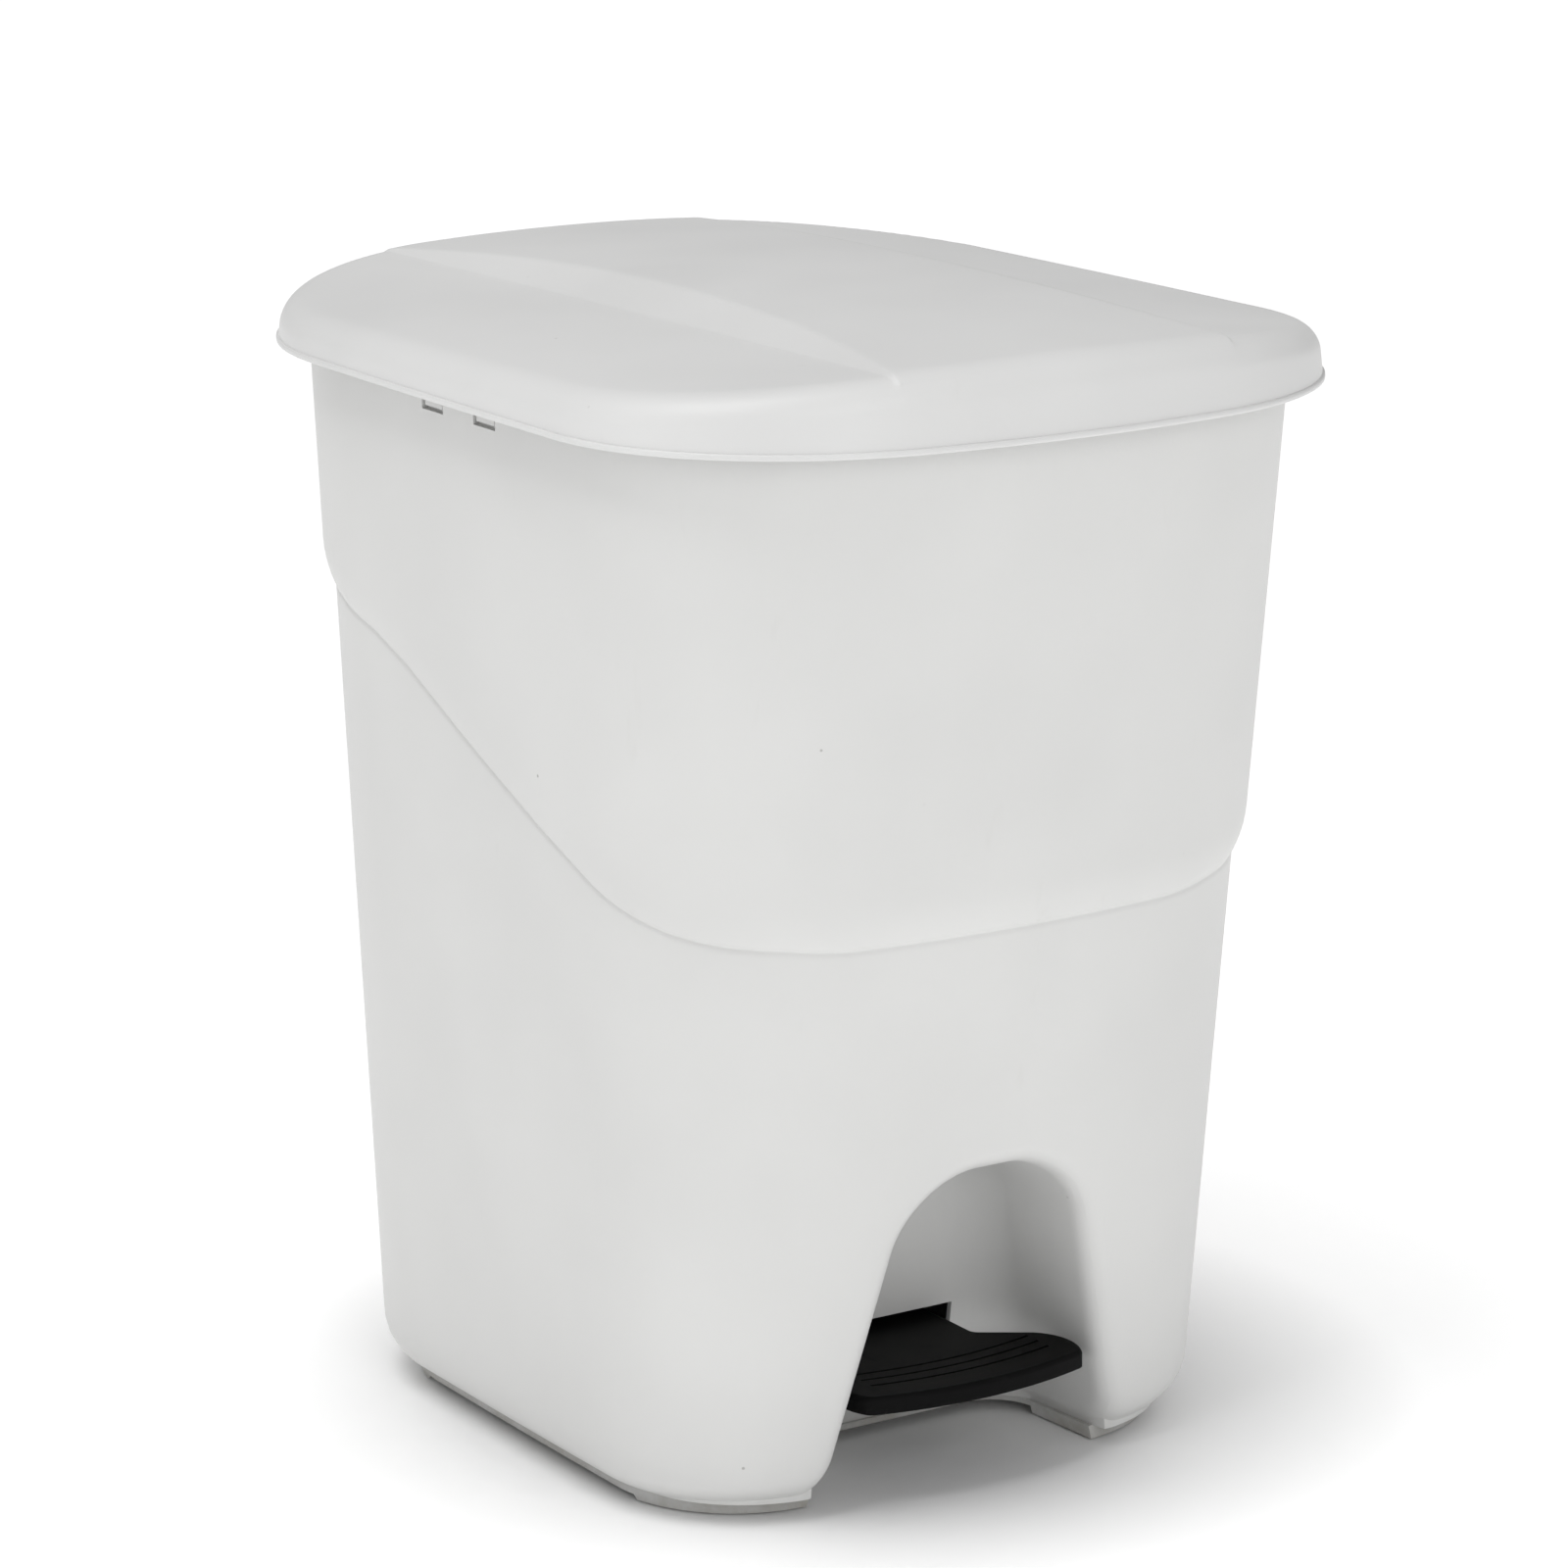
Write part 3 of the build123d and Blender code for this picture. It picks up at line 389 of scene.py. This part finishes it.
def read(obj):
    """Points of an object in millimetres."""
    flat = np.empty(len(obj.data.vertices) * 3)
    obj.data.vertices.foreach_get("co", flat)
    return flat.reshape(-1, 3) * 1000.0


def write(obj, points):
    """Puts points in millimetres back."""
    obj.data.vertices.foreach_set("co", (points / 1000.0).ravel())
    obj.data.update()


def carve(obj, tool, operation="DIFFERENCE", solver="EXACT"):
    """Cuts or joins one object with another and drops the second."""
    step = obj.modifiers.new("carve", "BOOLEAN")
    step.operation = operation
    step.solver = solver
    step.object = tool
    dg = bpy.context.evaluated_depsgraph_get()
    done = bpy.data.meshes.new_from_object(obj.evaluated_get(dg))
    obj.modifiers.clear()
    obj.data = done
    bpy.data.objects.remove(tool)


def brick(name, x0, x1, y0, y1, z0, z1):
    """Plain cutter between two corners."""
    corners = [(x, y, z) for z in (z0, z1) for y in (y0, y1) for x in (x0, x1)]
    sides = [(0, 2, 3, 1), (4, 5, 7, 6), (0, 1, 5, 4), (2, 6, 7, 3), (0, 4, 6, 2), (1, 3, 7, 5)]
    return make(name, corners, sides)


def joined(name, objects):
    """One object from several, each kept as its own closed skin."""
    points, faces = [], []
    start = 0
    for obj in objects:
        own = read(obj)
        points.append(own)
        faces += [tuple(start + i for i in p.vertices) for p in obj.data.polygons]
        start += len(own)
        bpy.data.objects.remove(obj)
    return make(name, np.vstack(points), faces)


def soften(obj, angle):
    """Smooth shading with edges kept where faces meet sharply."""
    obj.data.polygons.foreach_set("use_smooth", [True] * len(obj.data.polygons))
    obj.data.set_sharp_from_angle(angle=math.radians(angle))


AROUND = 384
gx, gy = ring_guess(AROUND)
guess = np.stack([gx, gy, np.full(AROUND, 280.0)], 1)
for _ in range(4):
    guess[:, 2] = np.interp(guess[:, 1], *LIFT_LINE.T)
    guess = settle(guess, body_outline, -STEP_IN, 4)
crease = np.interp(guess[:, 1], *LIFT_LINE.T)
foot_shares = np.array([0, 0.004, 0.012, 0.024, 0.038, 0.054, 0.072])
below = np.concatenate([foot_shares, np.linspace(0.09, 0.955, 72)])
tuck_steps = (-5, -3, -1.8, -1.1, -0.6, -0.3, 0, 0.4, 1.0, 2.0, 3.5, 5.5, 8.0, 11.0, 14.0, 17.0, 20.0)


def body_ring(z, start):
    """Ring of points on the body without its niche at given heights."""
    ring = np.stack([start[:, 0], start[:, 1], z], 1)
    return settle(ring, body_outside, 0.0, 6, (0, 1), 0.1, 0.05, 6.0)


rings = []
for share in below:
    rings.append(body_ring(FOOT_Z + (crease - 5.5 - FOOT_Z) * share, guess))
for lift in tuck_steps:
    rings.append(body_ring(crease + lift, guess))
for share in np.linspace(0.03, 1, 34):
    rings.append(body_ring(crease + 20 + (RIM - crease - 20) * share, guess))
body = make("body_moulding", *tube_mesh(np.array(rings)))


def niche_block(x, y, z):
    """The alcove as a cutter, closed a little below the floor."""
    return np.maximum(niche_inside(x, y, z), -30 - z)


niche_rows = []
turns = np.linspace(0, 2 * np.pi, 168, endpoint=False)
for y in np.linspace(-205, -96, 44):
    ring = np.stack([60 * np.cos(turns), np.full(len(turns), y), 45 + 70 * np.sin(turns)], 1)
    niche_rows.append(settle(ring, niche_block, 0.0, 14, (0, 2), 0.2, 0.08, 8.0))
last = niche_rows[-1]
heart = np.array([0, 0, 50.0])
for share in np.linspace(0.03, 0.985, 34):
    shrink = math.cos(share * math.pi / 2) ** 0.6
    ring = last * (shrink, 0, shrink) + heart * (1 - shrink)
    ring[:, 1] = -96 + 30 * math.sin(share * math.pi / 2)
    niche_rows.append(settle(ring, niche_block, 0.0, 10))
niche_tool = make("niche_tool", *tube_mesh(np.array(niche_rows[::-1])))
for piece in (body, niche_tool):
    piece.data.validate()
carve(body, niche_tool)


def at_edge(points):
    """Whether points lie on the flat rim or on the foot plane."""
    return (points[:, 2] > RIM - 0.01) | (points[:, 2] < FOOT_Z + 0.01)


def trim(points):
    """Settles skin points, leaving the rim and foot planes flat."""
    kept = points.copy()
    moved = settle(points, body_skin, 0.0, 6)
    edge = at_edge(points)
    moved[edge, 2] = kept[edge, 2]
    return moved


outer_points = read(body)
settled = trim(outer_points)
skin_faces = [
    tuple(p.vertices) for p in body.data.polygons
    if not all(outer_points[i, 2] < FOOT_Z + 0.01 for i in p.vertices)
    and not all(outer_points[i, 2] > RIM - 0.01 for i in p.vertices)
]
used = sorted({i for f in skin_faces for i in f})
order = {old: new for new, old in enumerate(used)}
skin_faces = [tuple(order[i] for i in f) for f in skin_faces]
settled = settled[used]
lining = settle(settled, body_skin, -WALL, 12)
ends = at_edge(settled)
lining[ends, 2] = settled[ends, 2]
edges = {(a, b): True for f in skin_faces for a, b in zip(f, f[1:] + f[:1])}
many = len(settled)
walls = list(skin_faces) + [tuple(i + many for i in reversed(f)) for f in skin_faces]
for a, b in edges:
    if (b, a) not in edges:
        walls.append((b, a, a + many, b + many))
bpy.data.objects.remove(body)
body = make("body_moulding", np.vstack([settled, lining]), walls)
SLOT_HALF, SLOT_LOW, SLOT_HIGH = 33, 17, 51
WINDOW_LOW, WINDOW_HIGH, WINDOW_HALF = 419.5, 428.5, 8
cutters = [brick("slot", -SLOT_HALF, SLOT_HALF, -92, -38, SLOT_LOW, SLOT_HIGH)]
for side in (-1, 1):
    for y in (12.5, -26.5):
        x0, x1 = sorted((side * 140, side * 162))
        y0, y1 = y - WINDOW_HALF, y + WINDOW_HALF
        cutters.append(brick("window", x0, x1, y0, y1, WINDOW_LOW, WINDOW_HIGH))
carve(body, joined("cutters", cutters))


def bar(name, radius, x0, x1, y, z, around=40):
    """Round bar lying across the bin."""
    a = np.linspace(0, 2 * np.pi, around, endpoint=False)
    ring = np.stack([a * 0, y + radius * np.cos(a), z + radius * np.sin(a)], 1)
    return make(name, *tube_mesh(np.array([ring + (x0, 0, 0), ring + (x1, 0, 0)])))


def plate(name, x0, x1, outline):
    """Flat plate standing across the bin, its outline given in y and z."""
    count = len(outline)
    points = [(x, y, z) for x in (x0, x1) for y, z in outline]
    sides = [(i, (i + 1) % count, count + (i + 1) % count, count + i) for i in range(count)]
    sides.append(tuple(reversed(range(count))))
    sides.append(tuple(range(count, 2 * count)))
    made = make(name, points, sides)
    made.data.validate()
    return made


def face_out(obj):
    """Turns every face of a closed piece outward."""
    work = bmesh.new()
    work.from_mesh(obj.data)
    bmesh.ops.recalc_face_normals(work, faces=work.faces)
    work.to_mesh(obj.data)
    work.free()
    return obj


def bored(obj, extra, radius, y, z):
    """Joins a round end to a plate and bores both for a pin."""
    carve(face_out(obj), face_out(extra), "UNION")
    carve(obj, face_out(bar("bore", radius, -70, 70, y, z)))
    return obj


HINGE_Y, HINGE_Z, KNUCKLE_R, HINGE_R = 191.5, 433.0, 4.2, 2.0
ear_low, ear_wall = HINGE_Z - KNUCKLE_R, HINGE_Y - 6.3
ear_line = [
    (ear_wall, ear_low), (HINGE_Y, ear_low), (HINGE_Y, HINGE_Z + 1), (ear_wall, HINGE_Z + 1),
]
parts = [body]
for side in (-1, 1):
    for near, far in ((16, 22), (44, 52)):
        x0, x1 = sorted((side * near, side * far))
        web = plate("ear", x0, x1, ear_line)
        eye = bar("ear_end", KNUCKLE_R, x0, x1, HINGE_Y, HINGE_Z)
        parts.append(bored(web, eye, HINGE_R, HINGE_Y, HINGE_Z))


def flat_ring(grow, z):
    """Body outline at the floor, moved outward by grow, at a height."""
    ring = np.stack([gx * 0.75, gy * 0.75, np.zeros(AROUND)], 1)
    ring = settle(ring, lambda x, y, h: body_outline(x, y, h * 0), grow, 10)
    return ring * (1, 1, 0) + (0, 0, z)


FLANGE_LOW, FLANGE_HIGH, BOSS_TOP = 6.6, 9.0, 18.0
section = [(-34, FLANGE_LOW), (-17, FLANGE_LOW), (-17, FLANGE_HIGH), (-34, FLANGE_HIGH)]
flange = face_out(hoop("flange", np.array([flat_ring(grow, z) for grow, z in section])))
carve(flange, brick("niche_gap", -77.5, 77.5, -220, -46, 0, 30))
bosses = []
turns = np.linspace(0, 2 * np.pi, 32, endpoint=False)
circle = np.stack([np.cos(turns), np.sin(turns), turns * 0], 1)
BOSS_R, BORE_R = 5, 1.85
for x, y in ((112, -52), (112, 62), (48, 124), (-112, -52), (-112, 62), (-48, 124)):
    low, high = (x, y, FLANGE_LOW), (x, y, BOSS_TOP)
    tube = [circle * BORE_R + low, circle * BOSS_R + low, circle * BOSS_R + high, circle * BORE_R + high]
    bosses.append(face_out(hoop("boss", np.array(tube))))
    hole = [circle * (BOSS_R - 0.1) + (x, y, z) for z in (FLANGE_LOW - 3, FLANGE_LOW + 9)]
    carve(flange, face_out(make("hole", *tube_mesh(np.array(hole)))))
body = joined("body_moulding", parts + [flange] + bosses)
soften(body, 38)
white_wall = moulded_white("white_wall", WHITE, 0.30)
body.data.materials.clear()
body.data.materials.append(white_wall)
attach(body, "housing")
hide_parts("body_shell")


# Base plate: a white polypropylene plate with a turned-down rim and four stepped
# corner feet, moulded in one and closed against the underside of the body.
def dress(material, name):
    """Gives a carried-over piece its finish."""
    nodes[name].data.materials.clear()
    nodes[name].data.materials.append(material)


# The plate's white is set darker than the body's (0.60 against 0.71) as painted shade for the shade under
# the body, and it is darker still toward the floor.
dress(moulded_white("plinth_white_painted_shade", (0.60, 0.60, 0.59), 0.75), "base_plate")


# Foot pads: four discs of black rubber pressed into the corner feet.
# They stand 0.8 mm proud of the feet and keep the bin from sliding.
def soft_rubber(name, tone):
    """Matt moulded rubber."""
    finish = Finish(name, Specular_IOR_Level=0.3)
    cloud = finish.noise(80, 4)
    fine = finish.noise(2000, 2)
    dull = tuple(0.75 * c for c in tone) + (1,)
    colour = finish.blend(cloud, dull, tuple(tone) + (1,))
    return finish.coat(colour, 0.68 + cloud * 0.15, fine, 0.00008)


dress(soft_rubber("pad_rubber", (0.05, 0.05, 0.052)), "foot_pads")


# Base screws: six zinc plated pan-head screws driven up through the base plate
# into the bosses of the body.
def plated(name, tone=(0.62, 0.63, 0.65), base=0.30):
    """Plated or bright steel with a faint rolled grain."""
    finish = Finish(name, 1.0)
    cloud = finish.noise(45, 3)
    streak = finish.noise(260, 3, 0.6, (0.15, 1, 1))
    dull = tuple(0.80 * c for c in tone) + (1,)
    colour = finish.blend(finish.ramp(cloud, 0.3, 0.7), dull, tuple(tone) + (1,))
    return finish.coat(colour, base + cloud * 0.14 + streak * 0.08, streak, 0.00003)


dress(plated("base_screw_zinc", (0.64, 0.65, 0.66), 0.26), "base_screws")


# Pivot brackets: a pair of 3 mm zinc plated steel pressings, each with a foot
# turned outward that stands on the base plate and an eye for the axle.
bracket_zinc = plated("bracket_zinc")
dress(bracket_zinc, "pivot_bracket_left")
dress(bracket_zinc, "pivot_bracket_right")


# Bracket screws: four plated screws down through the bracket feet into the
# bosses under the base plate.
dress(plated("bracket_screw_zinc", (0.64, 0.65, 0.66), 0.28), "bracket_screws")


# Pedal lever: a channel pressed from 2.5 mm zinc plated steel sheet, with one
# flange carried back as a tongue to the push rod.
dress(plated("lever_zinc", (0.60, 0.61, 0.63), 0.32), "pedal_lever")


# Lever bush: a natural nylon tube pressed through both flanges of the lever,
# turning on the axle.
def pale_nylon(name, tone=(0.72, 0.70, 0.62)):
    """Natural nylon or white acetal."""
    finish = Finish(name, Specular_IOR_Level=0.4)
    cloud = finish.noise(60, 3)
    fine = finish.noise(1200, 2)
    dull = tuple(0.9 * c for c in tone) + (1,)
    colour = finish.blend(cloud, dull, tuple(tone) + (1,))
    return finish.coat(colour, 0.38 + cloud * 0.15, fine, 0.00004)


dress(pale_nylon("bush_nylon"), "lever_bush")


# Pedal tread: a hollow black polypropylene moulding with a bowed front edge and
# three curved grooves, its neck running in through the slot over the lever.
def black_plastic(name, shade=0.0030):
    """Black satin moulding, dulled where it is rubbed."""
    finish = Finish(name, Specular_IOR_Level=0.06)
    cloud = finish.noise(22, 3)
    fine = finish.noise(1400, 2, 0.6)
    rub = finish.ramp(finish.noise(70, 4, 0.7, (1, 0.3, 1)), 0.58, 0.75)
    dark = (shade, shade, shade, 1)
    paler = (shade * 1.7, shade * 1.7, shade * 1.75, 1)
    colour = finish.blend(cloud, dark, paler)
    colour = finish.blend(rub * 0.30, colour, (0.012, 0.012, 0.0125, 1))
    return finish.coat(colour, 0.46 + cloud * 0.12 + rub * 0.12, fine, 0.00006)


dress(black_plastic("pedal_black"), "pedal_tread")


# Tread screws: two plated screws up through the lever's web into the bosses
# under the tread.
dress(plated("tread_screw_zinc", (0.64, 0.65, 0.66), 0.27), "tread_screws")


# Pivot axle: a 6 mm bright steel pin through the brackets and the bush, grooved
# at both ends for its clips.
dress(plated("axle_steel", (0.70, 0.70, 0.71), 0.18), "pivot_axle")


# Axle clips: two spring steel clips snapped into the grooves of the axle
# outside the brackets.
dress(plated("axle_clip_steel", (0.20, 0.20, 0.21), 0.34), "axle_clips")


# Push rod: 5 mm zinc plated steel wire with its foot bent sideways through the
# hole at the end of the lever.
dress(plated("rod_zinc", (0.66, 0.66, 0.67), 0.24), "push_rod")


# Rod clip: a pressed spring steel washer pushed onto the bent foot of the rod
# to hold it in the lever.
dress(plated("rod_clip_steel", (0.20, 0.20, 0.21), 0.36), "rod_clip")


# Rod yoke: a nylon block pressed onto the top of the rod, with a long slot in
# which the lid's lift pin slides.
dress(pale_nylon("yoke_nylon"), "rod_yoke")


# Rod guides: two white acetal blocks screwed to the inside of the back wall,
# each bored for the rod.
guide_white = pale_nylon("guide_acetal", (0.78, 0.78, 0.76))
dress(guide_white, "rod_guide_upper")
dress(guide_white, "rod_guide_lower")


# Guide screws: four plated screws through the guides into the back wall.
# Their heads face the bucket.
dress(plated("guide_screw_zinc", (0.64, 0.65, 0.66), 0.29), "guide_screws")


# Inner bucket: a grey polypropylene tub with a rolled-out flange, its front
# hollowed to clear the niche. It hangs in the body by its flange.
dress(moulded_white("bucket_grey", (0.26, 0.27, 0.285)), "inner_bucket")


# Bail wire: 4 mm zinc plated steel wire bent to the shape of the bucket's
# mouth, its ends turned out through the bucket wall.
dress(plated("bail_zinc", (0.66, 0.66, 0.67), 0.22), "bail_wire")


# Bail grip: a black polypropylene sleeve moulded round the middle of the wire.
# It is what the hand takes hold of.
dress(black_plastic("grip_black", 0.02), "bail_grip")


# Bucket frame: a white polypropylene ring on the rim of the body, with a skirt
# inside the wall and four hooks that snap into the windows.
dress(moulded_white("frame_white", (0.70, 0.70, 0.69)), "bucket_frame")


# Lid: one white polypropylene moulding. A crowned top with a raised, arched
# middle panel, a short flared skirt and a thin bead round its lower edge.
PIN_Y, PIN_Z, PIN_R = 171.236, 420.140, 2.0
LID_RIM, LID_TOP, CROWN, FALL = 428.0, 455.2, 2516.0, 0.01378
PANEL_HALF, PANEL_SLOPE = 76.0, 0.5714


def panel_rise(y):
    """Height of the middle panel over the outer panels along the lid."""
    return np.maximum(1 - (y / 190.0) ** 2, 0) * 8.0 + 0.5


def lid_top(x, y):
    """Height of the lid's top at a place."""
    crown = LID_TOP - x * x / CROWN - FALL * y
    edge = LID_TOP - PANEL_HALF**2 / CROWN - FALL * y
    slope = edge + (PANEL_HALF - np.abs(x)) * PANEL_SLOPE
    raised = np.minimum(crown + panel_rise(y), slope)
    return np.where(np.abs(x) < PANEL_HALF, np.maximum(crown, raised), crown)


def lid_outline(x, y, out):
    """Distance outside the body's top outline grown by out."""
    return bowed(x, y, HALF, REACH, REACH, CORNER, SIDE_BOW, FRONT_BOW, BACK_BOW) - out


def lid_wall(x, y, z):
    """Distance outside the skirt, which flares toward its lower edge."""
    return lid_outline(x, y, 11.6 - 0.10 * (z - LID_RIM))


def lid_skin(x, y, z):
    """Distance outside the lid, its top edge rounded."""
    return rounded_and(lid_wall(x, y, z), z - lid_top(x, y), 10.0)


skirt_start = settle(np.stack([gx * 1.05, gy * 1.05, np.full(AROUND, 440.0)], 1), lid_wall, 0.0, 8)
hull_rows = []
for z in np.concatenate([[LID_RIM, 430.0, 432.0], np.linspace(434, 446, 9), [450, 456, 462, 468]]):
    ring = skirt_start * (1, 1, 0) + (0, 0, z)
    hull_rows.append(settle(ring, lid_wall, 0.0, 4, (0, 1), 0.1))
lid = make("lid_moulding", *tube_mesh(np.array(hull_rows)))

lengths = np.linspace(-212, 212, 170)
columns = []
for y in lengths:
    upper = PANEL_HALF - panel_rise(y) / PANEL_SLOPE
    middle = np.linspace(-upper + 1.2, upper - 1.2, 44)
    ramp = np.linspace(upper, PANEL_HALF, 9)
    outer = np.linspace(PANEL_HALF + 0.8, 182, 34)
    right = np.concatenate([ramp, outer])
    columns.append(np.concatenate([-right[::-1], middle, right]))
columns = np.array(columns)
across = columns.shape[1]
yy = np.repeat(lengths[:, None], across, 1)
top_sheet = np.stack([columns, yy, lid_top(columns, yy)], 2).reshape(-1, 3)
under = top_sheet * (1, 1, 0) + (0, 0, 400.0)
count = len(top_sheet)
faces = []
for j in range(len(lengths) - 1):
    for i in range(across - 1):
        k = j * across + i
        faces.append((k, k + 1, k + across + 1, k + across))
        faces.append((count + k, count + k + across, count + k + across + 1, count + k + 1))
rim_walk = [i for i in range(across)]
rim_walk += [j * across + across - 1 for j in range(1, len(lengths))]
rim_walk += [(len(lengths) - 1) * across + i for i in range(across - 2, -1, -1)]
rim_walk += [j * across for j in range(len(lengths) - 2, 0, -1)]
for a, b in zip(rim_walk, rim_walk[1:] + rim_walk[:1]):
    faces.append((b, a, count + a, count + b))
top_tool = make("top_tool", np.vstack([top_sheet, under]), faces)
carve(lid, top_tool, "INTERSECT")
lid_points = read(lid)
flat_rim = lid_points[:, 2] < LID_RIM + 0.01
moved = settle(lid_points, lid_skin, 0.0, 6)
moved[flat_rim] = lid_points[flat_rim]
write(lid, moved)
hollow = lid.copy()
hollow.data = lid.data.copy()
bpy.context.scene.collection.objects.link(hollow)
inside = settle(moved, lid_skin, -WALL, 12)
inside[flat_rim, 2] = 424.0
write(hollow, inside)
carve(lid, hollow)


BEAD = [
    (LID_RIM, 10.6), (LID_RIM, 11.9), (428.25, 12.28), (429.0, 12.4), (429.9, 12.3),
    (430.3, 11.9), (430.4, 10.6),
]
bead_rows = []
for z, out in BEAD:
    ring = skirt_start * (1, 1, 0) + (0, 0, z)
    bead_rows.append(settle(ring, lambda x, y, h: lid_outline(x, y, out), 0.0, 5, (0, 1), 0.1))
bead_ring = hoop("bead_ring", np.array(bead_rows))
knuckle_line = [(189.5, 432.0), (195.2, 432.0), (196.4, 449.6), (189.5, 451.0)]
lug_line = [(PIN_Y - 5, PIN_Z), (PIN_Y + 5, PIN_Z), (PIN_Y + 9, 451.6), (PIN_Y - 11, 452.2)]
parts = [lid, bead_ring]
for side in (-1, 1):
    x0, x1 = sorted((side * 24.5, side * 41.5))
    web = plate("knuckle", x0, x1, knuckle_line)
    eye = bar("knuckle_end", KNUCKLE_R, x0, x1, HINGE_Y, HINGE_Z)
    parts.append(bored(web, eye, HINGE_R + 0.05, HINGE_Y, HINGE_Z))
    x0, x1 = sorted((side * 7.0, side * 10.0))
    lug = plate("lug", x0, x1, lug_line)
    parts.append(bored(lug, bar("lug_end", 5.0, x0, x1, PIN_Y, PIN_Z), PIN_R, PIN_Y, PIN_Z))
lid = joined("lid_moulding", parts)
soften(lid, 50)
lid_white = moulded_white("lid_white", (0.72, 0.72, 0.715))
lid.data.materials.append(lid_white)
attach(lid, "lid")
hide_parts("lid_shell")


# Lift pin: a 4 mm bright steel pin with a head, through the two lugs of the lid
# and the slot of the rod's yoke.
dress(plated("lift_pin_steel", (0.70, 0.70, 0.71), 0.20), "lift_pin")


# Lift pin clip: a spring steel washer pushed on the end of the lift pin.
# It bears on the outside of the lug.
dress(plated("lift_clip_steel", (0.20, 0.20, 0.21), 0.34), "lift_pin_clip")


# Hinge rod: a 4 mm bright steel rod through the ears of the body and the
# knuckles of the lid.
dress(plated("hinge_steel", (0.70, 0.70, 0.71), 0.19), "hinge_rod")


# Hinge caps: two pressed steel caps driven onto the ends of the hinge rod.
# They keep it from working out sideways.
dress(plated("cap_steel", (0.30, 0.30, 0.31), 0.32), "hinge_caps")


# Lid buffers: two pale rubber studs pushed into the underside of the lid near
# its front, to quieten its fall.
dress(soft_rubber("buffer_rubber", (0.55, 0.55, 0.53)), "lid_buffers")


# Sizes: the outer box of the pieces carried over and of what is shown.
low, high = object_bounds()
